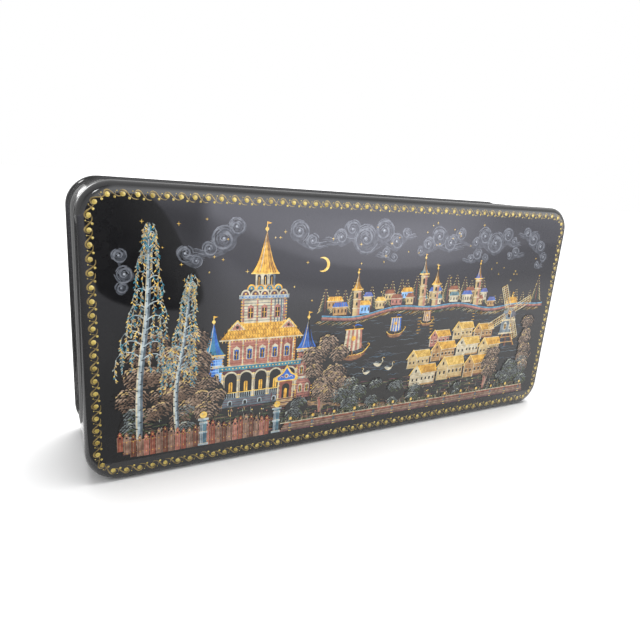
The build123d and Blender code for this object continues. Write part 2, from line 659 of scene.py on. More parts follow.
class Motif:
    """One motif of the painting, as flat areas and brush marks, each at its own level."""

    def __init__(self, name, level):
        self.name = name
        self.level = level
        self.coats = {}

    def coat(self, colour, lift):
        """Corners and faces laid so far in a colour at a level."""
        return self.coats.setdefault((self.level + lift, colour), ([], []))

    def area(self, colour, points, lift=0):
        """Flat area inside an outline."""
        corners, faces = self.coat(colour, lift)
        faces.append(range(len(corners), len(corners) + len(points)))
        corners.extend(points)

    def box(self, colour, left, low, right, high, lift=0):
        self.area(colour, [(left, low), (right, low), (right, high), (left, high)], lift)

    def disc(self, colour, x, z, radius, sides, lift, squash=1):
        turns = [2 * pi * i / sides for i in range(sides)]
        self.area(colour, round_points(x, z, radius, squash * radius, turns), lift)

    def stroke(self, colour, points, width, shape="line", lift=0, pieces=None):
        """Brush mark along a smooth line through the points."""
        length = sum(hypot(b[0] - a[0], b[1] - a[1]) for a, b in zip(points, points[1:]))
        if pieces is None:
            pieces = max(1, ceil(length / (len(points) - 1) / longest_cell))
            if len(points) > 2 or shape != "line":
                pieces = max(pieces, 3 if len(points) < 4 else 2)
        line = smooth_line(points, pieces)
        corners, faces = self.coat(colour, lift)
        first = len(corners)
        for i, spot in enumerate(line):
            way = line[min(i + 1, len(line) - 1)] - line[max(i - 1, 0)]
            way.normalize()
            half = max(finest_mark, width * mark_width(shape, i / (len(line) - 1))) / 2
            corners.append((spot.x - way.y * half, spot.y + way.x * half))
            corners.append((spot.x + way.y * half, spot.y - way.x * half))
        for i in range(len(line) - 1):
            a = first + 2 * i
            faces.append((a, a + 1, a + 3, a + 2))

    def level_line(self, colour, left, right, z, width, lift=0):
        """Straight brush line of even width, from side to side."""
        self.stroke(colour, [(left, z), (right, z)], width, lift=lift)

    def upright_line(self, colour, x, low, high, width, lift=0):
        """Straight brush line of even width, upwards."""
        self.stroke(colour, [(x, low), (x, high)], width, lift=lift)

    def finish(self):
        """Lay the motif on the dome, each coat at its level, as one piece that rides on the lid."""
        piece_mesh = bpy.data.meshes.new(self.name)
        whole = bmesh.new()
        colours = sorted({colour for _, colour in self.coats})
        for (level, colour), (corners, faces) in sorted(self.coats.items()):
            coat = bmesh.new()
            made = [coat.verts.new((x * MM, 0, z * MM)) for x, z in corners]
            for face in faces:
                coat.faces.new([made[i] for i in face])
            cut_into_cells(coat)
            for face in coat.faces:
                face.material_index = colours.index(colour)
                face.smooth = True
                if face.normal.y > 0:
                    face.normal_flip()
            for corner in coat.verts:
                x, z = corner.co.x, corner.co.z
                corner.co.y = dome_edge_y - dome_height(x, z) - (level + 1) * paint_step
            coat_mesh = bpy.data.meshes.new("coat")
            coat.to_mesh(coat_mesh)
            coat.free()
            whole.from_mesh(coat_mesh)
            bpy.data.meshes.remove(coat_mesh)
        whole.to_mesh(piece_mesh)
        whole.free()
        piece = bpy.data.objects.new(self.name, piece_mesh)
        bpy.context.scene.collection.objects.link(piece)
        finish_piece(piece, "lid", "painted_lacquer", *(paints[colour] for colour in colours))


def cut_into_cells(coat):
    """Cut the large faces along a fixed grid, so that they can follow the dome."""
    for axis, cell in ((0, wide_cell * MM), (2, longest_cell * MM)):
        places = [corner.co[axis] for corner in coat.verts]
        if not places:
            continue
        for line in range(ceil(min(places) / cell), ceil(max(places) / cell)):
            place = line * cell
            large = {
                face
                for face in coat.faces
                if min(c.co[axis] for c in face.verts) < place - TINY
                and max(c.co[axis] for c in face.verts) > place + TINY
            }
            if not large:
                continue
            normal = Vector((0, 0, 0))
            normal[axis] = 1
            parts = list(large)
            parts += list({edge for face in large for edge in face.edges})
            parts += list({corner for face in large for corner in face.verts})
            bmesh.ops.bisect_plane(
                coat, geom=parts, dist=0.01 * TINY, plane_co=normal * place, plane_no=normal
            )


# Gold scroll border


def gold_line(points, width, swells):
    """Raised line of gold along a smooth curve, in millimetres, with its relief towards -Y."""
    curve = bpy.data.curves.new("gold line", "CURVE")
    curve.dimensions = "3D"
    curve.bevel_depth = width * MM / 2
    curve.bevel_resolution = 0
    curve.resolution_u = 2
    spline = curve.splines.new("NURBS")
    spline.points.add(len(points) - 1)
    for point, (x, z), swell in zip(spline.points, points, swells):
        point.co = (x * MM, 0, z * MM, 1)
        point.radius = swell
    spline.order_u = 3
    spline.use_endpoint_u = True
    line = bpy.data.objects.new("gold line", curve)
    bpy.context.scene.collection.objects.link(line)
    only(line)
    bpy.ops.object.convert(target="MESH")
    bpy.context.object.data.materials.append(paints["dim border gold"])
    return bpy.context.object


def gold_drop(x, z, radius, segments):
    """Round drop of gold, in millimetres."""
    bpy.ops.object.select_all(action="DESELECT")
    bpy.ops.mesh.primitive_uv_sphere_add(
        segments=segments,
        ring_count=drop_rings,
        radius=radius * MM,
        location=(x * MM, 0, z * MM),
        rotation=upright,
    )
    drop = added("gold drop")
    drop.data.materials.append(paints["border gold"])
    return drop


def joined(name, pieces):
    """Several pieces made into one."""
    bpy.ops.object.select_all(action="DESELECT")
    for piece in pieces:
        piece.select_set(True)
    bpy.context.view_layer.objects.active = pieces[0]
    bpy.ops.object.join()
    pieces[0].name = pieces[0].data.name = name
    return pieces[0]


def scroll_unit():
    """One turn of the scroll: a bead, the line that rolls over it to the next one, and small drops."""
    over = [
        (-0.95, -0.1), (-0.85, 0.95), (0.35, 1.25), (1.3, 0.35), (2.2, -0.75), (3.3, -1.25), (4.1, -1.0)
    ]
    parts = [
        gold_drop(0, 0, bead_radius, 8),
        gold_drop(1.75, -1.0, 0.38, 6),
        gold_drop(-1.5, 0.75, 0.2, 5),
        gold_line(over, 0.34, (0.5, 1.2, 1.5, 1.2, 0.9, 0.8, 0.5)),
        gold_line([(1.75, -1.0), (2.45, -0.35), (2.35, 0.45)], 0.22, (0.7, 1.0, 0.5)),
    ]
    unit = joined("scroll_unit", parts)
    relief = gold_relief / (bead_radius * MM)
    unit.data.transform(Matrix.Diagonal((1, relief, 1, 1)))
    edit()
    choose_all()
    bpy.ops.mesh.bisect(plane_co=(0, 0, 0), plane_no=(0, 1, 0), clear_outer=True, threshold=0.01 * TINY)
    leave_edit()
    for face in unit.data.polygons:
        face.use_smooth = True
    return unit


def border_stations():
    """Places round the border and its heading at each, clockwise as the lid is seen."""
    half_length = box_length / 2 - border_inset
    half_width = box_width / 2 - border_inset
    radius = border_corner
    flat_length = 2 * (half_length - radius)
    flat_width = 2 * (half_width - radius)
    arc = radius * pi / 2
    total = 2 * (flat_length + flat_width + 2 * arc)
    count = round(total / border_pitch)
    legs = [
        (flat_width, Vector((-half_length, 0, middle_z - flat_width / 2)), 90),
        (flat_length, Vector((-flat_length / 2, 0, middle_z + half_width)), 0),
        (flat_width, Vector((half_length, 0, middle_z + flat_width / 2)), -90),
        (flat_length, Vector((flat_length / 2, 0, middle_z - half_width)), -180),
    ]
    stations = []
    for number in range(count):
        along = number * total / count
        for length, start, heading in legs:
            way = radians(heading)
            if along < length:
                spot = start + along * Vector((cos(way), 0, sin(way)))
                stations.append((spot, way))
                break
            along -= length
            if along < arc:
                turned = way - along / radius
                end = start + length * Vector((cos(way), 0, sin(way)))
                centre = end + radius * Vector((sin(way), 0, -cos(way)))
                stations.append((centre + radius * Vector((-sin(turned), 0, cos(turned))), turned))
                break
            along -= arc
    return stations


def edge_fall(x, z):
    """How far the lid's rolled edge lies behind its flat border at a place on it."""
    along = abs(x) - (box_length / 2 - corner_radius)
    across = abs(z - middle_z) - (box_width / 2 - corner_radius)
    reach = hypot(along, across) if min(along, across) > 0 else max(along, across)
    rolled = min(lid_edge_radius, max(0, reach - corner_radius + lid_edge_radius))
    return lid_edge_radius - sqrt(lid_edge_radius**2 - rolled**2)


def make_border():
    """Scroll units all round the lid, each a little different, as a hand paints them."""
    unit = scroll_unit()
    hand = random.Random(11)
    copies = []
    for spot, way in border_stations():
        copy = bpy.data.objects.new("scroll", unit.data.copy())
        bpy.context.scene.collection.objects.link(copy)
        size = hand.uniform(0.93, 1.06)
        turn = Matrix.Rotation(-way - radians(hand.uniform(-5, 5)), 4, "Y")
        place = Matrix.Translation((spot.x, dome_edge_y, spot.z))
        copy.data.transform(place @ turn @ Matrix.Diagonal((size, 1, hand.uniform(0.92, 1.05), 1)))
        copies.append(copy)
    bpy.data.objects.remove(unit)
    border = joined("gold_scroll_border", copies)
    for corner in border.data.vertices:
        corner.co.y += edge_fall(corner.co.x, corner.co.z)
    finish_piece(border, "lid", "gold_ornament")


# Motifs of the painting, in millimetres on the lid. Each is drawn by a hand whose wavering starts
# from a number of its own, so that it comes out the same every time.

# Sky: x, z and radius of each curl in the chains of cloud, and how a curl is drawn
cloud_chains = (
    ((-63, 73.5, 2.0), (-58.5, 76.6, 3.4), (-54.5, 80.4, 2.4), (-33, 79.6, 3.0), (-28, 76.4, 2.2)),
    (
        (-17, 77.8, 2.4), (-12.6, 80.6, 2.8), (-7, 77.4, 4.3), (0.8, 80.3, 3.6), (6.6, 76.6, 2.6),
        (10.8, 79.6, 1.8),
    ),
    (
        (2.4, 72.8, 1.7), (6, 71, 1.3), (18, 73.4, 1.5), (21.6, 75.8, 2.4), (26.6, 78.8, 3.3),
        (32.6, 76.4, 2.6),
    ),
    (
        (37.4, 79.8, 2.2), (46, 76.8, 1.8), (50.4, 79.2, 3.2), (57, 76.6, 3.9), (63.4, 79.8, 2.6),
        (67.6, 77.2, 1.7),
    ),
    ((75, 81, 2.0), (79.4, 78.4, 2.9), (84.4, 75.2, 2.4), (87.4, 70.8, 1.8), (84, 67.4, 1.3)),
    ((-88.5, 62, 1.5), (-87.6, 66, 2.2), (-89, 71.4, 1.8), (-67, 69.8, 1.6), (-70.4, 72, 2.2)),
    ((44, 70.4, 1.4), (47.6, 72, 2.0), (52, 70.6, 1.5), (66, 71.6, 1.3), (69.4, 72.8, 1.9)),
)
curl_growth = 1.18
curl_ring_width = 0.55
curl_turns = 1.45
curl_steps = 11
cloud_light = radians(110)
sky_end = 91
star_count = 60


def cloud_curl(motif, x, z, radius, way, start, hand):
    """One curl of cloud: broken rings of soft strokes, one rolled stroke and a bright eye."""
    rings = max(2, ceil(radius / curl_ring_width))
    for number in range(rings):
        reach = radius * (0.22 + 0.82 * (number + 0.5) / rings)
        turned = start + way * 1.1 * number
        for _ in range(3):
            length = way * hand.uniform(1.0, 1.9)
            points = round_points(x, z, reach, reach, [turned + length * k / 3 for k in range(4)])
            lit = cos(turned + length / 2 - cloud_light) > 0.2
            colour, lift = ("cloud", 2) if lit else ("dim cloud", 1)
            motif.stroke("cloud shade", points, hand.uniform(0.6, 0.85), "swell", 0, 2)
            motif.stroke(colour, points, hand.uniform(0.22, 0.4), "swell", lift, 2)
            turned += way * hand.uniform(1.9, 2.3)
    points = []
    for i in range(curl_steps + 1):
        angle = start + way * 2 * pi * curl_turns * i / curl_steps
        reach = radius * (1.08 - 0.88 * i / curl_steps)
        points += round_points(x, z, reach, reach, [angle])
    motif.stroke("cloud", points, 0.12 * radius + 0.18, "swell", 3, 2)
    motif.disc("cloud", x, z, 0.15 * radius + 0.12, 8, 4)
    motif.disc("bright cloud", x - 0.04 * radius, z + 0.04 * radius, 0.08 * radius + 0.08, 6, 5)


def cloud_garlands(sky, chain):
    """Soft garlands that hang from each curl of a chain to the next, where they are near."""
    for (x, z, radius), (next_x, next_z, next_radius) in zip(chain, chain[1:]):
        if hypot(next_x - x, next_z - z) > 2.6 * (radius + next_radius):
            continue
        for drop in (1.05, 1.3):
            points = [
                (x - 0.8 * radius, z - 0.7 * radius),
                (x, z - drop * radius),
                (next_x, next_z - drop * next_radius),
                (next_x + 0.8 * next_radius, next_z - 0.7 * next_radius),
            ]
            sky.stroke("cloud shade", points, 0.7, "swell")
            sky.stroke("dim cloud", points, 0.28, "dab", 1)


def cloud_wisps(sky, chain, hand):
    """Wisps that trail outwards from the first and the last curl of a chain."""
    for x, z, radius in (chain[0], chain[-1]):
        side = -1 if x == chain[0][0] else 1
        for row in range(4):
            low = z - radius * (0.1 + 0.27 * row)
            reach = side * radius * hand.uniform(2.2, 3.4)
            drift = ((0, 0), (0.4, -0.4), (0.75, 0.15), (1, 0))
            points = [(x + share * reach, low + up) for share, up in drift]
            if abs(x + reach) < sky_end:
                sky.stroke("cloud shade", points, 0.8, "comma")
                sky.stroke("dim cloud" if row % 2 else "cloud", points, 0.34, "comma", 1 + row % 2)


def young_moon(sky, x, z, radius):
    """Crescent, open to the left."""
    outer = round_points(x, z, radius, radius, [radians(d) for d in range(-110, 111, 20)])
    inner = round_points(x - 0.95, z, 2.45, 2.2, [radians(d) for d in range(100, -101, -20)])
    sky.area("pale gold", outer + inner, 6)


def paint_sky():
    """Chains of spiral clouds, with stars and a young moon between them."""
    sky = Motif("painted_sky", 0)
    hand = random.Random(3)
    for chain in cloud_chains:
        for number, (x, z, radius) in enumerate(chain):
            way = 1 if number % 2 else -1
            cloud_curl(sky, x, z, curl_growth * radius, way, hand.uniform(0, 2 * pi), hand)
        cloud_garlands(sky, chain)
        cloud_wisps(sky, chain, hand)
    for _ in range(star_count):
        x, z = hand.uniform(-90, 90), hand.uniform(56, 84)
        size = hand.uniform(0.3, 0.65)
        sky.stroke("pale gold", [(x - size, z), (x + size, z)], 0.16, "dab", 6)
        sky.stroke("pale gold", [(x, z - size), (x, z + size)], 0.16, "dab", 6)
    young_moon(sky, -23.5, 68.5, 2.6)
    sky.finish()


# Leaves, from the shaded ones to those in full light, and the least light of each tone but the first
warm_tones = ("brown leaf", "tan leaf", "tan leaf", "gold leaf")
shaded_tones = ("brown leaf", "brown leaf", "tan leaf", "gold leaf")
cool_tones = ("green leaf", "grey leaf", "grey leaf", "silver leaf")
tone_lights = (-0.2, 0.35, 0.75)
unseen_light = -0.95

# Warm trees to the left of this are the shaded ones
shaded_end = -65


def leaf_dab(motif, x, z, size, tilt, colour, lift):
    """Small arched dab of leaves, tilted the way its branch hangs."""
    spot = Vector((x, z))
    along, up = Vector((cos(tilt), sin(tilt))), Vector((-sin(tilt), cos(tilt)))
    reach, drop = 0.5 * size * along, 0.2 * size * up
    points = [spot - reach - drop, spot, spot + reach - drop]
    motif.stroke(colour, points, 0.42 * size, "dab", lift, pieces=1 if size < 1.2 else 2)


def dark_clumps(motif, x, z, wide, high, leaf, hand):
    """Dark ground of a crown: clumps with ragged edges, given back as middles and half sizes."""
    radius = min(5.0, 0.5 * min(wide, high) + 1.2)
    clumps = []
    motif.disc("dark leaf", x, z, 0.86 * wide, 20, 1, 0.9 * high / wide)
    rows = max(2, round(high / (0.56 * radius)))
    for row in range(rows):
        up = 1 - 2 * row / (rows - 1)
        reach = max(0, wide - 0.75 * radius) * sqrt(max(0.15, 1 - 0.85 * up * up))
        columns = max(1, round(reach / (0.42 * radius)))
        for column in range(columns):
            across = 0 if columns == 1 else -1 + 2 * column / (columns - 1)
            spot_x = x + across * reach + hand.uniform(-0.3, 0.3) * radius
            spot_z = z + up * (high - 0.6 * radius) + hand.uniform(-0.25, 0.25) * radius
            size = radius * hand.uniform(0.75, 1.15)
            clumps.append((spot_x, spot_z, size, 0.72 * size))
            motif.disc("dark leaf", spot_x, spot_z, 0.9 * size, 14, 1, 0.72)
            for i in range(18):
                way = 2 * pi * i / 18 + hand.uniform(-0.1, 0.1)
                edge = Vector((spot_x + 0.95 * size * cos(way), spot_z + 0.7 * size * sin(way)))
                tip = edge + 0.62 * leaf * Vector((cos(way), sin(way)))
                motif.stroke("dark leaf", [edge, tip], 0.55, "dab", 1, 2)
    return clumps


def place_on_clump(clumps, x, z):
    """Where a point lies across and up the last clump that reaches it, or None beside them all."""
    place = None
    for clump_x, clump_z, clump_wide, clump_high in clumps:
        across, up = (x - clump_x) / clump_wide, (z - clump_z) / clump_high
        if across**2 + up**2 < 1.05:
            place = (across, up)
    return place


def crown(motif, x, z, wide, high, hand, tones, leaf=1.2):
    """Leafy crown: dark clumps, and over them rows of arched dabs, lightest at each clump's upper left."""
    clumps = dark_clumps(motif, x, z, wide, high, leaf, hand)
    step_x, step_z = 1.02 * leaf, 0.5 * leaf
    for row in range(ceil(2 * (high + leaf) / step_z)):
        level_z = z + high + leaf - step_z * row
        for column in range(ceil(2 * (wide + leaf) / step_x)):
            steps = column + 0.5 * (row % 2)
            spot_x = x - wide - leaf + step_x * steps + hand.uniform(-0.25, 0.25) * step_x
            spot_z = level_z + hand.uniform(-0.3, 0.3) * step_z
            place = place_on_clump(clumps, spot_x, spot_z)
            if place is None:
                continue
            across, up = place
            light = 0.8 * up - 0.35 * across + hand.uniform(-0.45, 0.45)
            if light < unseen_light:
                continue
            pick = sum(light >= least for least in tone_lights)
            tilt = radians(-48 * across + hand.uniform(-14, 14))
            leaf_dab(motif, spot_x, spot_z, leaf * hand.uniform(0.8, 1.15), tilt, tones[pick], 2 + pick)


def paint_trees():
    """Broad trees and bushes on the near bank."""
    trees = Motif("painted_trees", 22)
    hand = random.Random(7)
    stems = ((-66.5, 14, 16, 1.5), (-20.5, 13, 14, -1), (62.5, 12, 12, 1), (85.5, 13, 13, -1))
    for x, z, height, lean in stems:
        for side in (-0.9, 0, 1.0, 1.9):
            top = (x + side * 3.4 + lean, z + height)
            points = [(x + 0.4 * side, z), (x + side + lean / 2, z + height / 2), top]
            colour, width = ("tan leaf", 0.55) if side else ("rose brick", 1.2)
            trees.stroke(colour, points, width, "swell")
    for x, z, wide, high in (
        (-79, 40, 7, 9), (-69, 36, 8, 11), (-82, 27, 7.5, 9), (-62, 25, 6, 8), (-73, 23, 8, 7),
        (-20, 32, 8.5, 12), (-16, 24, 7, 6), (85.5, 31, 5, 12), (65, 24, 6, 7),
    ):
        crown(trees, x, z, wide, high, hand, shaded_tones if x < shaded_end else warm_tones)
    for x, z, wide, high in (
        (-86.5, 17, 4.6, 6.5), (-70, 17, 6.5, 5.2), (-30, 16.5, 5.4, 4.4), (-8.5, 19.5, 7.5, 6.5),
        (3.5, 17.5, 7, 5.4), (13.5, 16, 6, 4.6), (24, 14.6, 6.2, 3.6), (77.5, 17, 6.6, 6),
        (47, 13.4, 5.6, 3), (86, 18, 4.4, 6),
    ):
        crown(trees, x, z, wide, high, hand, cool_tones, 1.15)
    trees.finish()


# Leaves on the hanging twigs
twig_tones = ("teal", "teal", "silver leaf", "silver leaf", "gold leaf", "gold leaf", "pale gold")


def hanging_twig(motif, x, z, drop, sway, hand):
    """Thin twig that hangs down, with small leaves on both sides."""
    motif.stroke("silver", [(x, z), (x + sway, z - drop / 2), (x + sway * 0.7, z - drop)], 0.15, "comma", 1)
    leaves = ceil(drop / 0.55)
    for i in range(leaves):
        share = (i + 0.5) / leaves
        spot_x = x + sway * sin(0.75 * pi * share)
        spot_z = z - drop * share
        colour = hand.choice(twig_tones)
        side = hand.choice((-1, 1)) * hand.uniform(0.25, 0.85)
        tip = (spot_x + side, spot_z - hand.uniform(0.45, 1.0))
        motif.stroke(colour, [(spot_x, spot_z), tip], 0.36, "dab", 4)


def birch_boughs(motif, spot, spread, length, hand):
    """Arched boughs to both sides of a place on the trunk, with twigs that hang from them."""
    arched = ((0, 0), (0.35, 0.5), (0.75, 0.55), (1.0, 0.1))
    for side in (-1, 1):
        reach = spread * hand.uniform(0.85, 1.15)
        z = spot.y + hand.uniform(-1, 1)
        bough = [(spot.x + side * reach * a, z + 0.55 * reach * b) for a, b in arched]
        motif.stroke("silver", bough, 0.42, "comma", 1)
        for twig_x, twig_z in bough[1:]:
            drop = hand.uniform(4.5, 8.0) * length
            hanging_twig(motif, twig_x, twig_z, drop, side * hand.uniform(0.1, 0.7), hand)


def paint_birches():
    """Silver birches at the left, with arched boughs and long hanging twigs."""
    birches = Motif("painted_birches", 28)
    hand = random.Random(19)
    trunks = (
        ((-84.5, 9.5), (-84.2, 32), (-81.6, 56), (-80.6, 81), 2.2, 9.5),
        ((-72.5, 11), (-73.2, 28), (-70.6, 46), (-68.4, 66), 1.6, 7.0),
    )
    bark = (("dark silver", 0.16, 1.0), ("silver", -0.06, 0.74), ("cream", -0.24, 0.24))
    for *points, width, spread in trunks:
        for lift, (colour, aside, share) in enumerate(bark):
            stripe = [(x + aside * width, z) for x, z in points]
            birches.stroke(colour, stripe, share * width, "comma", lift, 8)
        low, top = points[0][1], points[-1][1]
        for number, spot in enumerate(smooth_line(points, 12)[1:-1]):
            share = (spot.y - low) / (top - low)
            half = 0.5 * width * (1 - share) ** 0.6
            side = 1 if number % 2 else -1
            scar = [(spot.x + side * half, spot.y), (spot.x, spot.y - 0.25)]
            birches.stroke("night", scar, 0.5, "comma", 3)
            if share >= 0.38 and number % 2:
                birch_boughs(birches, spot, spread * (1.12 - share), 1.15 - 0.5 * share, hand)
        for side in (-1, 0, 1):
            hanging_twig(birches, points[-1][0] + side * 0.8, top - 0.2, 4.5, side * 0.9, hand)
    birches.finish()


def fir(motif, x, z, height):
    """Fir tree: a stem and tiers of hanging boughs, with light on their tips."""
    motif.stroke("brown", [(x, z), (x, z + height)], 0.07 * height, "comma")
    boughs = ((0.0, "dark leaf", 1), (0.2, "green leaf", 2), (0.55, "gold leaf", 3))
    tiers = ceil(height / 1.2)
    for tier in range(tiers):
        share = (tier + 0.6) / tiers
        reach = 0.34 * height * (1 - share) + 0.25
        spot = z + height * (0.12 + 0.88 * share)
        for side in (-1, 1):
            for inner, colour, lift in boughs:
                start = (x + side * inner * reach, spot - 0.12 * inner * reach)
                tip = (x + side * reach, spot - 0.62 * reach)
                motif.stroke(colour, [start, tip], 0.6 - 0.5 * inner, "dab", lift)


def window(motif, x, z, wide, high, frame_colour, lift):
    """Window in a carved frame with a little gable, and one pane cross."""
    half, edge = wide / 2, 0.2 * wide
    top = z + high + edge
    motif.box(frame_colour, x - half - edge, z - edge, x + half + edge, top, lift)
    motif.area(frame_colour, [(x - 0.8 * wide, top), (x + 0.8 * wide, top), (x, top + 0.6 * wide)], lift)
    motif.box("night", x - half, z, x + half, z + high, lift + 1)
    motif.upright_line("gold", x, z, z + high, 0.14 * wide, lift + 2)
    motif.level_line("gold", x - half, x + half, z + 0.55 * high, 0.14 * wide, lift + 2)


def arch(motif, colour, x, z, wide, high, lift):
    """Arched opening."""
    half = wide / 2
    head = round_points(x, z + high - half, half, half, half_turn)
    motif.area(colour, [(x + half, z)] + head + [(x - half, z)], lift)


def shade_side(motif, left, low, right, high, colour, lift):
    """Hatching that turns the right side of a wall away from the light."""
    wide = right - left
    for i in range(6):
        x = right - 0.42 * wide * (i / 6) ** 1.3 - 0.2
        motif.upright_line(colour, x, low, high, 0.05 * wide * (1 - i / 7) + 0.08, lift)


def log_wall(motif, left, low, right, high, wall, shade, lift=0):
    """Wall of logs: a flat colour with dark joints, a hatched side and gold log ends."""
    motif.box(wall, left, low, right, high, lift)
    logs = max(2, round((high - low) / 0.95))
    for i in range(1, logs):
        motif.level_line(shade, left, right, low + (high - low) * i / logs, 0.2, lift + 1)
    shade_side(motif, left, low, right, high, shade, lift + 1)
    for x in (left, right):
        for i in range(logs):
            motif.disc("gold", x, low + (high - low) * (i + 0.5) / logs, 0.3, 6, lift + 2)


def log_house(motif, x, z, wide, high, wall, shade, roof, lines, lift):
    """House seen from its corner: a gable end, and a long side under a sloping roof."""
    end = 0.4 * wide
    left, middle, right = x - wide / 2, x - wide / 2 + end, x + wide / 2
    top, peak, ridge = z + high, z + high + 0.6 * high, (left + middle) / 2
    motif.box(shade, middle, z + 0.4, right, top, lift)
    motif.box(wall, middle, z + 1.0, right - 0.3, top - 0.3, lift + 1)
    motif.box(wall, left, z, middle, top, lift + 1)
    motif.area(wall, [(left, top - 0.02), (middle, top - 0.02), (ridge, peak)], lift + 1)
    for i in range(1, round(high / 0.8)):
        motif.level_line(shade, left, middle, z + 0.8 * i, 0.11, lift + 2)
        motif.level_line(shade, middle, right - 0.3, z + 0.4 + 0.8 * i, 0.11, lift + 2)
    eaves = [(middle + 0.5, top - 0.5), (right + 0.8, top - 0.3)]
    motif.area(roof, eaves + [(right - 0.8, peak), (ridge, peak)], lift + 2)
    for i in range(1, 15):
        share = i / 15
        foot = (middle + 0.5 + (right + 0.3 - middle) * share, top - 0.45)
        head = (ridge + (right - 0.8 - ridge) * share, peak)
        motif.stroke(lines, [foot, head], 0.15, lift=lift + 3)
    motif.level_line("cream", ridge, right - 0.8, peak, 0.24, lift + 4)
    motif.stroke("cream", eaves, 0.22, lift=lift + 4)
    for foot in (left - 0.7, middle + 0.6):
        motif.stroke("pale gold", [(foot, top - 0.7), (ridge, peak + 0.3)], 0.4, lift=lift + 4)
    motif.box("cream", left - 0.1, z, left + 0.22, top, lift + 3)
    motif.box("cream", middle - 0.16, z, middle + 0.16, top, lift + 3)
    pane_wide, pane_high = 0.15 * end, 0.24 * high
    arch(motif, "night", ridge, top + 0.05 * high, pane_wide, 0.22 * high, lift + 3)
    panes = max(2, round((right - middle) / 2.1))
    spots = [left + end * share for share in (0.28, 0.7)]
    spots += [middle + (right - middle) * (i + 0.5) / panes for i in range(panes)]
    for spot in spots:
        low = z + 0.38 * high + (0 if spot < middle else 0.3)
        motif.box("night", spot - pane_wide / 2, low, spot + pane_wide / 2, low + pane_high, lift + 3)
        for sill, width in ((low + pane_high, 0.2), (low, 0.16)):
            motif.level_line("cream", spot - pane_wide, spot + pane_wide, sill, width, lift + 4)


def tent_roof(motif, x, z, wide, high, colour, lines, lift):
    """Tall tent roof with flared eaves, ribs, a lit side and a gold finial."""
    half, waist, top = wide / 2, z + 0.3 * high, z + high
    outline = both_sides(x, [(x - half - 0.8, z - 0.3), (x - 0.62 * half, waist), (x, top)])
    motif.area(colour, outline, lift)
    for share in (-0.7, -0.45, -0.2, 0.1, 0.4, 0.62, 0.8):
        points = [(x + share * (half + 0.4), z), (x + share * 0.6 * half, waist), (x, top)]
        motif.stroke(lines, points, 0.14 if share < 0.3 else 0.34, lift=lift + 1)
    motif.stroke("cream", [(x - 0.55 * half, z), (x - 0.3 * half, waist), (x, top)], 0.26, "dab", lift + 2)
    motif.level_line("pale gold", x - half - 0.9, x + half + 0.9, z - 0.25, 0.4, lift + 2)
    finial(motif, x, top, 0.16 * high + 1.0, lift + 1)


def finial(motif, x, z, high, lift):
    """Gold stem with a ball and a small pennant."""
    top = z + high
    motif.upright_line("pale gold", x, z - 0.3, top, 0.28, lift)
    motif.disc("pale gold", x, z + 0.25 * high, 0.16 * high + 0.15, 10, lift + 1)
    motif.area("gold", [(x, top), (x + 0.5 * high, top - 0.14 * high), (x, top - 0.3 * high)], lift + 1)


def cornice(motif, left, right, z, thick, colour, beads, lift):
    """Moulded string course with a row of beads."""
    motif.box(colour, left - 0.5, z, right + 0.5, z + thick, lift)
    motif.level_line("cream", left - 0.5, right + 0.5, z + thick, 0.22, lift + 1)
    motif.level_line("plum", left - 0.5, right + 0.5, z, 0.22, lift + 1)
    count = max(3, round((right - left) / 1.2))
    for i in range(count):
        spot = left + (right - left) * (i + 0.5) / count
        motif.disc(beads, spot, z + thick / 2, 0.25, 6, lift + 1)


def post(motif, x, low, high, wide, colour, lift):
    """Turned post with a swelling, rings and a dark side."""
    motif.box(colour, x - 0.32 * wide, low, x + 0.32 * wide, high, lift)
    motif.disc(colour, x, (low + high) / 2, 0.5 * wide, 10, lift, 1.8)
    for share in (0.03, 0.26, 0.74, 0.97):
        z = low + (high - low) * share
        motif.level_line("pale gold", x - 0.5 * wide, x + 0.5 * wide, z, 0.26, lift + 1)
    motif.upright_line("plum", x + 0.2 * wide, low, high, 0.14 * wide, lift + 1)


def shingles(motif, low_left, low_right, top_left, top_right, z, top, rows, colour, lift):
    """Rows of round-ended shingles on a sloping roof."""
    height = (top - z) / rows
    for row in range(rows):
        share = row / rows
        left = low_left + (top_left - low_left) * share
        right = low_right + (top_right - low_right) * share
        low = z + (top - z) * share
        count = max(4, round((right - left) / 0.95))
        for i in range(count):
            a = left + (right - left) * i / count
            b = left + (right - left) * (i + 1) / count
            in_a, in_b = a + 0.1 * (b - a), b - 0.1 * (b - a)
            foot = ((a + b) / 2, low + 0.05 * height)
            motif.stroke(colour, [(a, low + height), (in_a, low + 0.3 * height), foot], 0.16, lift=lift)
            motif.stroke(colour, [foot, (in_b, low + 0.3 * height), (b, low + height)], 0.1, lift=lift)


def scale_gables(motif, left, right, z, count, colour, heart, lift):
    """Row of round gables that stand side by side under a drum."""
    radius = (right - left) / count / 2
    for i in range(count):
        x = left + radius * (2 * i + 1)
        motif.area(colour, round_points(x, z, radius, 1.15 * radius, half_turn), lift)
        motif.area(heart, round_points(x, z, 0.7 * radius, 0.8 * radius, half_turn), lift + 1)
        motif.disc("gold", x, z + 0.3 * radius, 0.2 * radius, 6, lift + 2)


def gable(motif, x, z, wide, lift):
    """Small roof gable with a round window."""
    half = wide / 2
    motif.area("cream", [(x - half, z), (x + half, z), (x, z + 1.1 * half)], lift)
    inner = [(x - 0.7 * half, z + 0.2), (x + 0.7 * half, z + 0.2), (x, z + 0.85 * half)]
    motif.area("rose brick", inner, lift + 1)
    motif.disc("night", x, z + 0.36 * half, 0.2 * half, 8, lift + 2)
    for side in (-1, 1):
        board_line = [(x + side * (half + 0.5), z - 0.2), (x, z + 1.2 * half)]
        motif.stroke("pale gold", board_line, 0.34, lift=lift + 2)


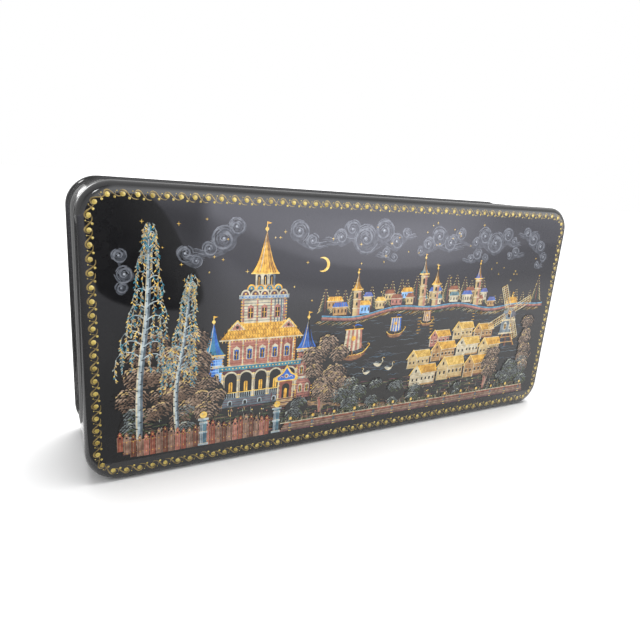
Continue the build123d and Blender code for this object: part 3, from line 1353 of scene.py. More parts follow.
def porch(motif, x, z, lift):
    """Covered stair in front of the house, with a barrel gable on turned posts."""
    for step in range(5):
        reach = 5.0 - 0.55 * step
        low = z + 0.7 * step
        motif.box("ochre" if step % 2 else "brown", x - reach, low, x + reach, low + 0.7, lift)
        motif.level_line("cream", x - reach, x + reach, low + 0.7, 0.14, lift + 1)
    motif.box("brick", x - 2.6, z + 3.5, x + 2.6, z + 10, lift)
    arch(motif, "night", x, z + 3.5, 2.8, 5.6, lift + 1)
    arch(motif, "gold", x, z + 3.5, 1.1, 3.8, lift + 2)
    for side in (-2.8, 2.8):
        post(motif, x + side, z + 3.2, z + 10.2, 1.0, "cream", lift + 2)
    outer = [(x - 4.0, z + 10), (x - 4.3, z + 11.7), (x - 1.9, z + 13.2), (x, z + 16.2)]
    motif.area("pale gold", both_sides(x, outer), lift + 3)
    inner = [(x - 3.1, z + 10.4), (x - 3.3, z + 11.6), (x - 1.4, z + 12.8), (x, z + 15.0)]
    motif.area("blue", both_sides(x, inner), lift + 4)
    motif.disc("cream", x, z + 11.9, 0.8, 10, lift + 5)
    motif.disc("brick", x, z + 11.9, 0.45, 8, lift + 6)
    for side in (-1, 1):
        points = [(x + side * 1.0, z + 11.4), (x + side * 1.9, z + 11.9), (x + side * 2.6, z + 11.1)]
        motif.stroke("pale gold", points, 0.28, "comma", lift + 5)


def tower_wings(house, x, z):
    """Log wings at both sides, with two rows of windows, under tent roofs."""
    wings = ((-16.8, "blue", "light blue", "teal", "blue"), (16.6, "rose brick", "plum", "blue", "night"))
    for side, wall, shade, roof, ribs in wings:
        left, right = x + side - 3.2, x + side + 3.2
        log_wall(house, left, z, right, z + 18.5, wall, shade)
        for row in (2.5, 9.5):
            cornice(house, left, right, z + row + 5, 0.9, "silver", "gold", 2)
            for spot in (-1.35, 1.35):
                window(house, x + side + spot, z + row, 1.1, 2.5, "cream", 3)
        cornice(house, left, right, z + 17.8, 1.2, "silver", "gold", 2)
        tent_roof(house, x + side, z + 19.2, 6.4, 10.5, roof, ribs, 2)


def tower_gallery(house, x, z):
    """Low log storey with small lights, and on it a gallery of five arches between turned posts."""
    log_wall(house, x - 13.6, z, x + 13.6, z + 3.4, "dark silver", "plum", 1)
    house.box("plum", x - 13.2, z + 3.4, x + 13.2, z + 13.6, 1)
    for i in range(5):
        spot = x - 10.6 + 5.3 * i
        arch(house, "cream", spot, z + 3.4, 5.0, 9.6, 2)
        arch(house, "night", spot, z + 3.4, 4.2, 9.0, 3)
        arch(house, "gold", spot, z + 5.6, 1.3, 3.6, 4)
        house.upright_line("night", spot, z + 5.6, z + 9.2, 0.2, 5)
        for rail in range(6):
            house.upright_line("silver", spot - 1.9 + 0.76 * rail, z + 3.4, z + 5.2, 0.22, 5)
        house.level_line("pale gold", spot - 2.2, spot + 2.2, z + 5.3, 0.3, 6)
        arch(house, "silver", spot, z + 0.7, 1.6, 1.8, 3)
        arch(house, "night", spot, z + 0.7, 1.0, 1.4, 4)
    for i in range(6):
        post(house, x - 13.25 + 5.3 * i, z + 3.2, z + 12, 1.15, "cream", 6)
    cornice(house, x - 14.2, x + 14.2, z + 13.2, 1.7, "teal", "pale gold", 6)


def tower_main_floor(house, x, z):
    """Storey of five windows between six posts, under a shingled roof with two gables."""
    log_wall(house, x - 11.8, z + 14.9, x + 11.8, z + 24.4, "rose brick", "brick", 2)
    for i in range(5):
        window(house, x - 9.0 + 4.5 * i, z + 17.2, 1.6, 3.3, "cream", 4)
        window(house, x - 9.0 + 4.5 * i, z + 17.2, 0.9, 2.8, "blue", 7)
    for i in range(6):
        post(house, x - 11.3 + 4.52 * i, z + 15, z + 24.2, 0.75, "cream", 5)
    roof = [(x - 14.6, z + 24), (x + 14.6, z + 24), (x + 10.0, z + 29.4), (x - 10.0, z + 29.4)]
    house.area("gold", roof, 6)
    shingles(house, x - 14.4, x + 14.4, x - 9.8, x + 9.8, z + 24.2, z + 29.2, 4, "dark gold", 7)
    house.level_line("cream", x - 14.9, x + 14.9, z + 23.9, 0.45, 8)
    for i in range(26):
        spot = x - 14.4 + 28.8 * (i + 0.5) / 26
        house.stroke("pale gold", [(spot, z + 23.8), (spot, z + 23.0)], 0.36, "comma", 8)
    for side in (-1, 1):
        gable(house, x + 9.0 * side, z + 27.2, 5.4, 7)


def tower_upper_floor(house, x, z):
    """Storey of three windows between four posts, under two rows of round gables."""
    log_wall(house, x - 7.8, z + 29.2, x + 7.8, z + 38, "cream", "dark silver", 4)
    for i in range(3):
        window(house, x - 4.7 + 4.7 * i, z + 31.2, 1.5, 3.2, "rose brick", 6)
    for i in range(4):
        post(house, x - 7.2 + 14.4 * i / 3, z + 29.4, z + 37.6, 0.85, "rose brick", 7)
    cornice(house, x - 8.2, x + 8.2, z + 37.4, 1.3, "silver", "blue", 7)
    scale_gables(house, x - 8.2, x + 8.2, z + 38.7, 5, "cream", "plum", 8)
    scale_gables(house, x - 6.2, x + 6.2, z + 40.5, 4, "gold", "teal", 6)


def tower_drum(house, x, z):
    """Drum with three arched lights, under the tallest tent roof."""
    house.box("cream", x - 3.4, z + 40, x + 3.4, z + 46, 5)
    shade_side(house, x - 3.4, z + 40, x + 3.4, z + 46, "dark silver", 6)
    for spot in (x - 2.2, x, x + 2.2):
        arch(house, "night", spot, z + 42, 1.2, 3.3, 7)
        house.upright_line("gold", spot, z + 42, z + 44.6, 0.2, 8)
    tent_roof(house, x, z + 46, 8.0, 13.2, "gold", "dark gold", 6)


def paint_tower_house():
    """Carved wooden tower house in tiers, with tent roofs and a porch."""
    house = Motif("painted_tower_house", 7)
    x, z = -44.5, 20
    tower_wings(house, x, z)
    tower_gallery(house, x, z)
    tower_main_floor(house, x, z)
    tower_upper_floor(house, x, z)
    tower_drum(house, x, z)
    porch(house, x + 9.6, z - 2.6, 10)
    house.finish()


def mill_trestle(mill, x, z):
    """Post, raking legs and cross rails that the mill stands on."""
    for side in (-1, 1):
        mill.stroke("brown", [(x + side * 5.6, z), (x + side * 1.2, z + 7)], 0.9)
        mill.stroke("gold", [(x + side * 5.9, z), (x + side * 1.5, z + 7)], 0.2, lift=1)
    mill.upright_line("brown", x, z, z + 7, 1.1)
    for share in (0.25, 0.6):
        half = 5.6 - 4.4 * share
        mill.level_line("ochre", x - half, x + half, z + 7 * share, 0.45, 1)


def mill_body(mill, x, z):
    """Boarded body with bands of gold beads, under a shingled roof."""
    mill.area("dark silver", [(x - 4.7, z + 6), (x + 4.7, z + 6), (x + 3.7, z + 18), (x - 3.7, z + 18)], 1)
    for i in range(13):
        share = (i + 0.5) / 13
        foot = (x - 4.7 + 9.4 * share, z + 6)
        colour = "silver" if share < 0.7 else "plum"
        mill.stroke(colour, [foot, (x - 3.7 + 7.4 * share, z + 18)], 0.17, lift=2)
    for row, half in ((6.0, 5.1), (12.0, 4.3), (17.8, 3.9)):
        mill.box("cream", x - half, z + row - 0.35, x + half, z + row + 0.35, 3)
        for i in range(8):
            mill.disc("gold", x - half + 2 * half * (i + 0.5) / 8, z + row, 0.2, 6, 4)
    roof = [(x - 4.6, z + 17.8), (x + 4.6, z + 17.8), (x + 2.3, z + 22.4), (x - 2.3, z + 22.4)]
    mill.area("gold", roof, 3)
    shingles(mill, x - 4.5, x + 4.5, x - 2.2, x + 2.2, z + 17.9, z + 22.3, 3, "dark gold", 4)
    finial(mill, x, z + 22.4, 2.2, 4)
    window(mill, x - 1.6, z + 8, 1.3, 2.2, "cream", 4)
    window(mill, x + 1.8, z + 8, 1.3, 2.2, "cream", 4)
    arch(mill, "night", x, z + 13.2, 1.4, 2.2, 4)


def mill_sails(mill, hub):
    """Four lattice sails on a gold hub, set a little askew."""
    for arm in range(4):
        way = radians(24 + 90 * arm)
        out = Vector((cos(way), sin(way)))
        side = Vector((-sin(way), cos(way)))
        mill.stroke("brown", [hub, hub + 13.4 * out], 0.55, lift=6)
        mill.stroke("cream", [hub + 0.1 * side, hub + 13.2 * out + 0.1 * side], 0.2, lift=7)
        for rail in (-1.1, 1.1, 2.1):
            rail_ends = [hub + 3.2 * out + rail * side, hub + 13.2 * out + rail * side]
            mill.stroke("cream", rail_ends, 0.34, lift=6)
        for rung in range(11):
            spot = hub + (3.2 + 1.0 * rung) * out
            mill.stroke("pale gold", [spot - 1.1 * side, spot + 2.1 * side], 0.26, lift=5)
    mill.disc("gold", hub.x, hub.y, 0.9, 12, 7)
    mill.disc("brown", hub.x, hub.y, 0.4, 8, 8)


def paint_windmill():
    """Post mill on the right."""
    mill = Motif("painted_windmill", 10)
    x, z = 72, 31
    mill_trestle(mill, x, z)
    mill_body(mill, x, z)
    mill_sails(mill, Vector((x, z + 15.4)))
    mill.finish()


def shore(x):
    """Height of the far bank's edge."""
    return 51.0 + 1.3 * sin(x / 15) + 0.7 * sin(x / 5.3)


def far_house(bank, x, low, wide, high, wall, roof, lift):
    """Small house across the river: a wall with dark windows under a lined roof."""
    eaves, ridge = low + high, low + high + 1.7
    bank.box(wall, x, low, x + wide, eaves, lift)
    slope = [(x - 0.4, eaves), (x + wide + 0.4, eaves), (x + wide - 0.7, ridge), (x + 0.7, ridge)]
    bank.area(roof, slope, lift)
    for i in range(1, 7):
        share = i / 7
        foot = (x - 0.4 + (wide + 0.8) * share, eaves)
        head = (x + 0.7 + (wide - 1.4) * share, eaves + 1.65)
        bank.stroke("dark gold", [foot, head], 0.13, lift=lift + 1)
    bank.level_line("cream", x - 0.4, x + wide + 0.4, eaves, 0.22, lift + 2)
    bank.upright_line("plum", x + wide - 0.15, low, eaves, 0.3, lift + 1)
    count = max(2, round(wide / 1.5))
    for i in range(count):
        spot = x + wide * (i + 0.5) / count
        bank.box("night", spot - 0.24, low + 0.3 * high, spot + 0.24, low + 0.72 * high, lift + 1)


def watch_tower(bank, x, high, roof):
    """Slender tower with string courses, two arched lights and a tent roof."""
    low = shore(x)
    bank.box("pale wall", x - 1.5, low, x + 1.5, low + high, 10)
    shade_side(bank, x - 1.5, low, x + 1.5, low + high, "rose brick", 11)
    for share in (0.3, 0.62, 0.9):
        bank.level_line("cream", x - 1.8, x + 1.8, low + share * high, 0.3, 12)
    arch(bank, "night", x, low + 0.68 * high, 0.9, 0.17 * high, 12)
    arch(bank, "night", x, low + 0.4 * high, 0.7, 0.12 * high, 12)
    tent_roof(bank, x, low + high, 3.0, 5.5, roof, "dark gold", 11)


def waterside(bank, hand):
    """Palisade along the far bank's edge, and reeds that lean over the water below it."""
    for x in range(-23, 92):
        low, ahead = shore(x) - 0.9, shore(x + 1) - 0.9
        for colour, above, width, lift in (
            ("rose brick", 0, 1.15, 13), ("plum", -0.35, 0.3, 14),
            ("teal", 0.75, 0.5, 14), ("light blue", 1.0, 0.14, 15),
        ):
            bank.stroke(colour, [(x, low + above), (x + 1, ahead + above)], width, lift=lift)
        if x % 2:
            bank.upright_line("plum", x + 0.5, low - 0.4, low + 0.4, 0.12, 15)
    for i in range(250):
        x = -24 + 115 * i / 250
        reach = hand.uniform(1.2, 2.6)
        start = (x, shore(x) - hand.uniform(1.5, 2.1))
        tip = (start[0] - 1.3 * reach, start[1] - 0.55 * reach)
        colour = hand.choice(("green leaf", "gold leaf", "green leaf", "silver leaf", "dark gold"))
        bank.stroke(colour, [start, tip], 0.22, "comma", 13)


def paint_far_bank():
    """Far bank of the river: firs, a crowded row of small houses, watch towers and a palisade."""
    bank = Motif("painted_far_bank", 1)
    hand = random.Random(29)
    walls = ("pale wall", "cream", "ochre", "rose brick", "pale wall", "light blue")
    roofs = ("gold", "blue", "pale gold", "teal", "gold", "brick")
    for x in range(-22, 90, 4):
        tall = 4.5 if 56 < x < 86 else 9.5
        fir(bank, x + hand.uniform(-1.3, 1.3), shore(x) + 1.2, tall * hand.uniform(0.75, 1.25))
    for row in (0, 1):
        x = -21.0 + 2.4 * row
        while x < 60:
            wide = hand.uniform(3.6, 6.2)
            high = hand.uniform(2.2, 3.6)
            low = shore(x + wide / 2) + (3.0 if row == 0 else 0.6)
            far_house(bank, x, low, wide, high, hand.choice(walls), hand.choice(roofs), 4 + 3 * row)
            x += wide + hand.uniform(1.5, 4.5) * (2 - row)
    for x, high, roof in ((-9, 10, "gold"), (21, 13, "teal"), (27.5, 9, "gold"), (50, 11.5, "blue")):
        watch_tower(bank, x, high, roof)
    waterside(bank, hand)
    bank.finish()


def paint_river():
    """Dark river with thin waves, and the light of the towers that lies on them."""
    river = Motif("painted_river", 1)
    hand = random.Random(31)
    for _ in range(260):
        x, z = hand.uniform(-28, 86), hand.uniform(24, 47.5)
        near = (47.5 - z) / 23
        reach = hand.uniform(1.2, 3.0) + 4 * near * hand.random()
        rise = 0.2 + 0.4 * near
        wave = ((-1, 0), (-0.5, rise), (0, 0), (0.5, rise), (1, 0))
        points = [(x + share * reach, z + up) for share, up in wave]
        colour = hand.choice(("water", "water", "dim cloud", "dim cloud", "dark silver"))
        river.stroke(colour, points, 0.16 + 0.14 * near, "dab", pieces=2)
    for x in (-9, 21, 27.5, 50):
        for row in range(6):
            z, half = 47.2 - 1.25 * row, hand.uniform(0.5, 1.5)
            river.stroke("gold", [(x - half, z), (x + half, z)], 0.22, "dab", 1)
    river.finish()


def scaled(x, z, size, points, way=1):
    """Points of a small drawing, at its place, in its size and facing its way."""
    return [(x + way * size * a, z + size * b) for a, b in points]


def boat(motif, x, z, size, stripes):
    """Trading boat with a high stem and a striped square sail."""

    def at(*points):
        return scaled(x, z, size, points)

    keel = ((-6, 2.6), (-5.2, 0.2), (-3, -1.2), (0, -1.6), (3, -1.2), (5.4, 0.3), (6.8, 3.6))
    rail = ((-6, 2.6), (-4, 1.0), (0, 0.6), (4.6, 1.3), (6.8, 3.6))
    motif.area("brown", at(*keel, *rail[3:0:-1]))
    motif.stroke("pale gold", at(*rail), 0.4 * size, lift=1)
    for drop in (-0.1, -0.55, -1.0):
        plank = at((-4.9 - drop, 0.5 + drop), (0, drop + 0.1), (5 + drop, 0.6 + drop))
        motif.stroke("ochre", plank, 0.16 * size, lift=1)
    for spot in at(*((-3.8 + 1.1 * i, 0.45) for i in range(8))):
        motif.disc("brick", *spot, 0.42 * size, 8, 2)
        motif.disc("gold", *spot, 0.18 * size, 6, 3)
    motif.stroke("gold", at((6.8, 3.4), (7.4, 4.4), (6.7, 4.9), (6.3, 4.4)), 0.4 * size, "comma", 2)
    motif.stroke("ochre", at((0, 0.6), (0, 12)), 0.34 * size, lift=1)
    motif.stroke("blue", at((0, 12), (1.4, 12.4), (3.4, 11.7)), 0.6 * size, "comma", 2)
    bands = 8
    for band in range(bands):
        left, right = (-3.9 + 7.8 * k / bands for k in (band, band + 1))
        low_left, low_right = (3.2 - 0.9 * sin(pi * (edge + 3.9) / 7.8) for edge in (left, right))
        cloth = at((left, low_left), (right, low_right), (right * 0.86, 10.6), (left * 0.86, 10.6))
        motif.area(stripes if band % 2 else "cream", cloth, 2)
    for row in (5.2, 7.0, 8.8):
        motif.stroke("ochre", at((-3.6, row), (0, row - 0.4), (3.6, row)), 0.12 * size, lift=3)
    motif.disc("gold", *at((0, 7.2))[0], 1.0 * size, 10, 3)
    motif.stroke("gold", at((-3.9, 10.7), (3.9, 10.7)), 0.36 * size, lift=3)
    for side in (-1, 1):
        motif.stroke("dark gold", at((0, 11.6), (side * 5.6, 1.8)), 0.12 * size, lift=1)


def swan(motif, x, z, size, way):
    """Swan on the water."""

    def at(*points):
        return scaled(x, z, size, points, way)

    motif.stroke("cream", at((-2.4, 0.9), (0, -0.2), (1.8, 0.3)), 1.4 * size, "dab", 1)
    for row in (0.2, 0.6, 1.0):
        motif.stroke("silver", at((-2.6 + row, 0.6 + row), (0.6, row - 0.2)), 0.22 * size, "comma", 2)
    motif.stroke("cream", at((1.4, 0.3), (2.3, 1.4), (1.7, 2.5), (2.3, 3.1)), 0.42 * size, "swell", 2)
    motif.stroke("gold", at((2.2, 3.1), (3.1, 2.7)), 0.3 * size, "comma", 3)
    motif.stroke("water", at((-3.4, -0.7), (0, -1.0), (3.4, -0.7)), 0.24 * size, "dab")


def paint_boats():
    """Boats and swans on the river."""
    boats = Motif("painted_boats", 17)
    boat(boats, -9, 34, 1.0, "rose brick")
    boat(boats, 9.5, 41, 0.66, "blue")
    boat(boats, 24.5, 44.4, 0.5, "brick")
    for x, z, size, way in ((3.5, 29.5, 0.95, 1), (8.8, 27.4, 0.85, 1), (-1.5, 26.6, 0.75, -1)):
        swan(boats, x, z, size, way)
    boats.finish()


# Rows of the village from the back to the front, as the row's level and then each house's place,
# size, wall and the shade of its logs
village_rows = (
    (
        0,
        (57.5, 35.5, 11, 4.4, "ochre", "brown"),
        (45.5, 36.6, 11, 4.6, "pale wall", "ochre"),
        (33, 34.6, 10.5, 4.2, "rose brick", "plum"),
    ),
    (
        5,
        (62.5, 27.5, 12, 5.2, "pale wall", "ochre"),
        (49.5, 28.6, 12.5, 5.4, "cream", "ochre"),
        (36, 28, 12.5, 5.2, "ochre", "brown"),
        (23.5, 26, 11, 4.8, "pale wall", "ochre"),
    ),
    (
        10,
        (56.5, 18.5, 14, 6.2, "ochre", "brown"),
        (41.5, 19, 14, 6.4, "pale wall", "ochre"),
        (27, 17.6, 13, 6.0, "cream", "ochre"),
    ),
)


def paint_village():
    """Log houses on the near bank, in three rows one behind the other."""
    village = Motif("painted_village", 6)
    for lift, *houses in village_rows:
        for number, (x, z, wide, high, wall, shade) in enumerate(houses):
            roof = "pale gold" if number % 2 else "gold"
            log_house(village, x, z, wide, high, wall, shade, roof, "dark gold", lift)
    village.finish()


def lawn(bank, hand):
    """Level strokes of grass, closer together at the front, that leave the mill's hill dark."""
    for _ in range(900):
        x = hand.uniform(-87, 87)
        z = 10 + 13 * hand.random() ** 1.3
        if x > 66 and z > 18:
            continue
        reach = hand.uniform(1.2, 3.2)
        colour = hand.choice(("dark leaf", "brown leaf", "green leaf", "green leaf", "plum"))
        bank.stroke(colour, [(x - reach, z), (x, z + 0.2), (x + reach, z)], 0.34, "dab")


def path(bank, hand):
    """Winding path that narrows on its way up to the house."""
    for _ in range(260):
        share = hand.random()
        z = 10.5 + 12 * share
        middle = -34 + 52 * (1 - share) ** 2 + 3 * sin(6 * share)
        x = middle + hand.uniform(-1, 1) * (5.5 - 3.6 * share)
        reach = hand.uniform(0.8, 2.4) * (1.2 - 0.6 * share)
        colour = hand.choice(("ochre", "tan leaf", "tan leaf", "brown"))
        bank.stroke(colour, [(x - reach, z), (x + reach, z)], 0.3, "dab", 1)


def flowers(bank, hand):
    """Blades of grass, and a flower on some of them."""
    for _ in range(520):
        x = hand.uniform(-89, 90)
        z = 10 + 9 * hand.random() ** 1.6
        lean = hand.uniform(-0.6, 0.6)
        colour = hand.choice(("green leaf", "green leaf", "brown leaf", "gold leaf", "silver leaf"))
        blade = [(x, z), (x + lean * 0.4, z + 0.9), (x + lean, z + hand.uniform(1.2, 2.2))]
        bank.stroke(colour, blade, 0.22, "comma", 3)
        if hand.random() < 0.3:
            bank.disc(hand.choice(("pale gold", "cream", "rose brick")), x + lean, z + 2.0, 0.26, 6, 4)


def paint_near_bank():
    """Lawn, path and flowers of the near bank."""
    bank = Motif("painted_near_bank", 2)
    hand = random.Random(41)
    lawn(bank, hand)
    path(bank, hand)
    flowers(bank, hand)
    bank.finish()


def paint_embankment():
    """Timber wall of the near bank, with capped posts and grass over its edge."""
    wall = Motif("painted_embankment", 33)
    hand = random.Random(43)
    left, right, low = -36.0, 89.0, 7.4
    for number, colour in enumerate(("plum", "umber", "umber", "brick")):
        start, end = left + 0.5 * number, right - 0.3 * number
        z = low + 0.4 + 0.85 * number
        wall.box(colour, start, z - 0.42, end, z + 0.42)
        wall.level_line("tan leaf", start, end, z + 0.26, 0.12, 1)
        wall.level_line("night", start, end, z - 0.42, 0.14, 1)
    wall.level_line("cream", left, right - 1, low + 3.5, 0.3, 2)
    for i in range(14):
        x = left + 4 + 9.1 * i
        post(wall, x, low, low + 4.6, 1.1, "dark silver", 2)
        wall.disc("pale gold", x, low + 5.0, 0.55, 10, 4)
    for _ in range(230):
        x = hand.uniform(left + 1, right - 1)
        lean = hand.uniform(-0.8, 0.8)
        top = low + 3.5 + hand.uniform(0.9, 1.9)
        colour = hand.choice(("green leaf", "green leaf", "silver leaf", "gold leaf"))
        wall.stroke(colour, [(x, low + 3.4), (x + lean, top)], 0.22, "comma", 3)
    wall.finish()


def pale(fence, x, foot, top, half, wood, rails):
    """Pale with a carved head, its grain, and a nail at each rail that it covers."""
    head = [(x + half, top), (x + 0.5 * half, top + 0.45), (x + 0.75 * half, top + 0.9), (x, top + 1.8)]
    mirrored = [(2 * x - a, b) for a, b in reversed(head[:-1])]
    fence.area(wood, [(x - half, foot), (x + half, foot)] + head + mirrored, 1)
    for side in (-1, 0, 1):
        grain = x + side * half * 0.5
        colour = "brown" if side else "tan leaf"
        fence.stroke(colour, [(grain, foot + 0.3), (grain, top - 0.4)], 0.12, "dab", 2)
    fence.upright_line("tan leaf", x - half, foot, top, 0.14, 2)
    fence.disc("night", x, top - 0.3, 0.34, 8, 2)
    fence.disc("pale gold", x, top + 0.7, 0.2, 6, 2)
    for z in rails:
        if z > foot:
            fence.disc("gold", x, z, 0.18, 6, 3)


def stout_post(fence, x, low):
    """Square post in bands, with a gold ball on its cap."""
    fence.box("dark silver", x - 1.2, low, x + 1.2, low + 9.6, 3)
    for side in (-0.8, -0.3, 0.2, 0.7):
        fence.upright_line("silver" if side < 0 else "teal", x + side, low + 0.4, low + 9.4, 0.2, 4)
    for z, half in ((low + 0.5, 1.7), (low + 9.6, 1.8), (low + 8.2, 1.4), (low + 4.8, 1.4)):
        fence.box("silver", x - half, z - 0.4, x + half, z + 0.4, 4)
        fence.level_line("cream", x - half, x + half, z + 0.3, 0.14, 5)
    fence.disc("pale gold", x, low + 11.2, 1.2, 14, 4)
    fence.disc("cream", x - 0.35, low + 11.6, 0.3, 8, 5)


def paint_paling():
    """Carved paling at the left, with two stout posts."""
    fence = Motif("painted_paling", 33)
    left, right, low = -91.0, -38.5, 7.6
    rows = (1.6, 5.4)
    for row in rows:
        start = left + 2.2 - 0.3 * row
        fence.level_line("plum", start, right, low + row, 0.9)
        fence.level_line("ochre", start, right, low + row + 0.3, 0.16, 1)
    pale_pitch = 1.95
    woods = ("brick", "umber", "brown", "umber", "rose brick")
    for i in range(int((right - left) / pale_pitch)):
        x = left + pale_pitch * (i + 0.5)
        foot = low + max(0.0, 2.6 - 1.2 * i)
        top = low + 6.6 + 0.9 * cos(2 * pi * i / 7)
        pale(fence, x, foot, top, 0.43 * pale_pitch, woods[i % 5], [low + row for row in rows])
    for x in (-64.0, right + 0.8):
        stout_post(fence, x, low)
    fence.finish()


make_border()
paint_sky()
paint_river()
paint_far_bank()
paint_near_bank()
paint_village()
paint_windmill()
paint_boats()
paint_tower_house()
paint_trees()
paint_birches()
paint_embankment()
paint_paling()


# Floor, light and camera


def make_floor():
    """Pale, evenly grained floor that takes the shadow."""
    bpy.ops.object.select_all(action="DESELECT")
    bpy.ops.mesh.primitive_plane_add(size=12, location=(0, 0, 0))
    floor = added("studio_floor")
    nodes = Nodes("pale floor")
    nodes.colours(nodes.noise(30, 2.0), (0.3, (0.94, 0.94, 0.94)), (0.7, (0.96, 0.96, 0.96)))
    nodes.set(Roughness=0.9, Specular_IOR_Level=0.0)
    floor.data.materials.append(nodes.material)


def bare_card(name, place, size, turn=Quaternion()):
    """Studio card that only the gloss sees, with the empty node tree of its material."""
    bpy.ops.object.select_all(action="DESELECT")
    bpy.ops.mesh.primitive_plane_add(size=1)
    card = bpy.context.object
    card.name = card.data.name = name
    card.data.transform(Matrix.LocRotScale(Vector(place), turn, Vector((*size, 1))))
    material = bpy.data.materials.new(name)
    material.use_nodes = True
    material.node_tree.nodes.clear()
    card.data.materials.append(material)
    for ray in ("camera", "diffuse", "shadow", "transmission"):
        setattr(card, f"visible_{ray}", False)
    return material.node_tree


def math(tree, operation, *values):
    """Arithmetic on sockets and numbers."""
    node = tree.nodes.new("ShaderNodeMath")
    node.operation = operation
    for entry, value in zip(node.inputs, values):
        if isinstance(value, (int, float)):
            entry.default_value = value
        else:
            tree.links.new(value, entry)
    return node.outputs[0]


def ease(tree, value, low, high, from_value, to_value):
    """Value that goes smoothly from one level to another."""
    node = tree.nodes.new("ShaderNodeMapRange")
    node.interpolation_type = "SMOOTHSTEP"
    for entry, number in zip(range_entries, (low, high, from_value, to_value)):
        node.inputs[entry].default_value = number
    tree.links.new(value, node.inputs["Value"])
    return node.outputs["Result"]


def place_of(tree):
    """Object coordinates, one by one."""
    coordinates = tree.nodes.new("ShaderNodeTexCoord")
    apart = tree.nodes.new("ShaderNodeSeparateXYZ")
    tree.links.new(coordinates.outputs["Object"], apart.inputs[0])
    return apart.outputs


def show(tree, shader):
    """Make a shader the one that the card's face has."""
    out = tree.nodes.new("ShaderNodeOutputMaterial")
    tree.links.new(shader.outputs[0], out.inputs["Surface"])


def make_lit_table():
    """Table before the lid for its gloss: brighter far off, darker at both sides and in a slanting band."""
    tree = bare_card("lit table", (0, -3.03, 0.001), (8, 6))
    x, y, _ = place_of(tree)
    distance = math(tree, "MAXIMUM", math(tree, "MULTIPLY_ADD", y, -1, -0.022), 0)
    away = math(tree, "SQRT", distance)
    level = math(tree, "MINIMUM", math(tree, "MULTIPLY_ADD", away, table_gain, table_level), table_limit)
    seen_at = math(tree, "MULTIPLY_ADD", y, 0.3, x)
    level = math(tree, "MULTIPLY", level, ease(tree, seen_at, -0.11, -0.05, 0.36, 1.0))
    slanting = math(tree, "MULTIPLY_ADD", x, 0.5, away)
    near_edge = ease(tree, slanting, 0.6, 0.8, 1.0, table_band)
    far_edge = ease(tree, slanting, 1.12, 1.32, 1.0, table_recovery)
    band = math(tree, "MULTIPLY", near_edge, far_edge)
    band = math(tree, "MAXIMUM", band, ease(tree, x, 0.06, 0.16, 1.0, table_band))
    level = math(tree, "MULTIPLY", level, band)
    aside = math(tree, "MULTIPLY_ADD", y, 0.9, x)
    level = math(tree, "MULTIPLY", level, ease(tree, aside, 0.0, 0.4, 1.0, 0.5))
    tint = tree.nodes.new("ShaderNodeCombineColor")
    tint.inputs["Red"].default_value = tint.inputs["Green"].default_value = 1.0
    tree.links.new(ease(tree, away, 0.2, 0.8, 1.0, 1.14), tint.inputs["Blue"])
    glow = tree.nodes.new("ShaderNodeEmission")
    tree.links.new(tint.outputs[0], glow.inputs["Color"])
    tree.links.new(level, glow.inputs["Strength"])
    show(tree, glow)


def make_dark_card():
    """Dark shape beside the camera, round and soft at its edges, that the lid's gloss shows."""
    centre_x, centre_z = -0.064, 0.054
    half_width, half_height, shape_z, lean = 0.032, 0.037, 0.05, 0.4
    tree = bare_card("dark card", (centre_x, -0.18, centre_z), (0.12, 0.12), Euler(upright).to_quaternion())
    x, _, z = place_of(tree)
    leaning = math(tree, "MULTIPLY_ADD", z, lean, x)
    across = math(tree, "MULTIPLY_ADD", leaning, 1 / half_width, -(centre_x + lean * centre_z) / half_width)
    upwards = math(tree, "MULTIPLY_ADD", z, 1 / half_height, -shape_z / half_height)
    cubes = (math(tree, "POWER", math(tree, "ABSOLUTE", part), 3) for part in (across, upwards))
    reach = math(tree, "ADD", *cubes)
    clear = tree.nodes.new("ShaderNodeBsdfTransparent")
    glow = tree.nodes.new("ShaderNodeEmission")
    tree.links.new(ease(tree, leaning, -0.045, -0.01, 0.0, 0.3), glow.inputs["Strength"])
    mixed = tree.nodes.new("ShaderNodeMixShader")
    tree.links.new(ease(tree, reach, 0.8, 1.05, 0.0, 1.0), mixed.inputs["Fac"])
    tree.links.new(glow.outputs[0], mixed.inputs[1])
    tree.links.new(clear.outputs[0], mixed.inputs[2])
    show(tree, mixed)


def make_plain_card(name, place, facing, size, level):
    """Evenly lit card that faces one way."""
    tree = bare_card(name, place, size, Vector(facing).to_track_quat("Z", "Y"))
    glow = tree.nodes.new("ShaderNodeEmission")
    glow.inputs["Strength"].default_value = level
    show(tree, glow)


def make_lit_wall():
    """Wall beyond the table, bright at its foot and dimmer upwards and at the left."""
    tree = bare_card("lit wall", (0, -4, 2.5), (12, 5), Euler(upright).to_quaternion())
    x, _, z = place_of(tree)
    level = ease(tree, z, 0.0, 4.0, 3.4, 1.6)
    level = math(tree, "MULTIPLY", level, ease(tree, x, -0.6, 1.0, 0.3, 1.0))
    glow = tree.nodes.new("ShaderNodeEmission")
    glow.inputs["Color"].default_value = (0.97, 0.98, 1.0, 1)
    tree.links.new(level, glow.inputs["Strength"])
    show(tree, glow)


def place_lamp(name, light, direction):
    """Put a light into the scene, turned its way, where the gloss doesn't see it."""
    lamp = bpy.data.objects.new(name, light)
    bpy.context.scene.collection.objects.link(lamp)
    lamp.rotation_mode = "QUATERNION"
    lamp.rotation_quaternion = Vector(direction).to_track_quat("-Z", "Y")
    lamp.visible_glossy = False
    return lamp


def make_top_lamp():
    """Soft rectangular lamp above the box, a little behind it and to the right, that shows in no view."""
    light = bpy.data.lights.new("top lamp", "AREA")
    light.shape = "RECTANGLE"
    light.size, light.size_y = 0.45, 0.24
    light.energy = 0.8
    place = Vector((0.2, 0.12, 1.0))
    lamp = place_lamp("top lamp", light, -place)
    lamp.location = place
    lamp.visible_camera = False


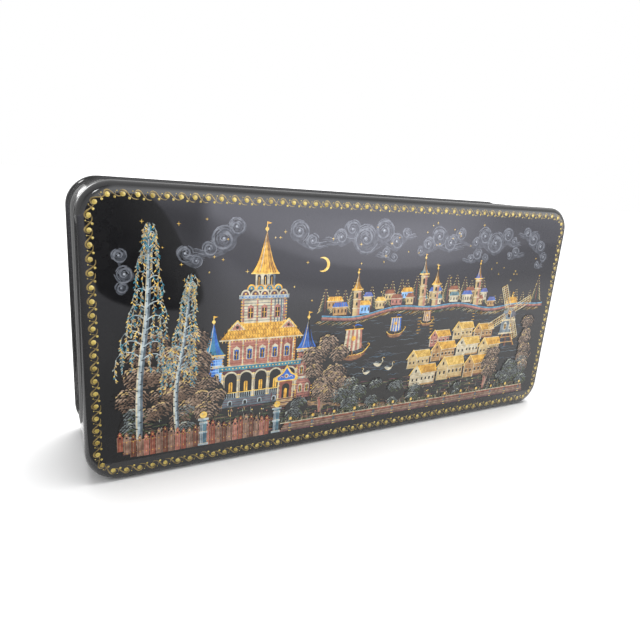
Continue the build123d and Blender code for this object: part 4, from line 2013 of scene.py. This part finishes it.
def make_sky_lamp():
    """Wide soft light from above, a little behind and to the right."""
    light = bpy.data.lights.new("sky lamp", "SUN")
    light.energy = sky_light
    light.angle = sky_width
    place_lamp("sky lamp", light, sky_aim)


def make_world():
    """White surroundings for the eye, the gloss and glass, and soft light for the rest."""
    world = bpy.data.worlds.new("studio")
    bpy.context.scene.world = world
    world.use_nodes = True
    tree = world.node_tree
    rays = tree.nodes.new("ShaderNodeLightPath")
    seen = rays.outputs["Is Camera Ray"]
    for kind in ("Is Glossy Ray", "Is Transmission Ray"):
        seen = math(tree, "MAXIMUM", seen, rays.outputs[kind])
    strength = tree.nodes.new("ShaderNodeMapRange")
    strength.inputs["To Min"].default_value = world_light
    strength.inputs["To Max"].default_value = 1.0
    tree.links.new(seen, strength.inputs["Value"])
    background = tree.nodes["Background"]
    tree.links.new(strength.outputs["Result"], background.inputs["Strength"])
    background.inputs["Color"].default_value = (1, 1, 1, 1)


def make_camera():
    """Camera at the photograph's place, close to the box, with its slight roll."""
    camera = bpy.data.objects.new("camera", bpy.data.cameras.new("camera"))
    bpy.context.scene.collection.objects.link(camera)
    camera.data.sensor_width = 36
    camera.data.lens = camera_lens
    camera.data.clip_start = 0.005
    camera.location = camera_place
    camera.rotation_mode = "QUATERNION"
    level = (camera_aim - camera_place).to_track_quat("-Z", "Y")
    camera.rotation_quaternion = level @ Quaternion((0, 0, 1), camera_roll)
    bpy.context.scene.camera = camera


make_floor()
make_world()
make_sky_lamp()
make_top_lamp()
make_lit_table()
make_dark_card()
make_lit_wall()
make_plain_card("grey board", (0.69, 0.9, 0.25), (0, -1, 0), (1.64, 0.5), 0.22)
make_plain_card("grey table", (-0.5, 0.5, 0.002), (0, 0, 1), (0.9, 0.96), 0.24)
make_plain_card("low board", (-0.73, 0.9, 0.13), (0, -1, 0), (1.2, 0.26), 0.24)
make_plain_card("high card", (-0.66, 1.22, 0.62), (0.42, -0.85, -0.36), (0.6, 0.75), 4.2)
make_plain_card("small lamp", (-0.4, -1.0, 0.64), (0.25, 0.82, -0.5), (0.15, 0.15), 22.0)
make_camera()
bpy.context.scene.view_settings.view_transform = "Standard"
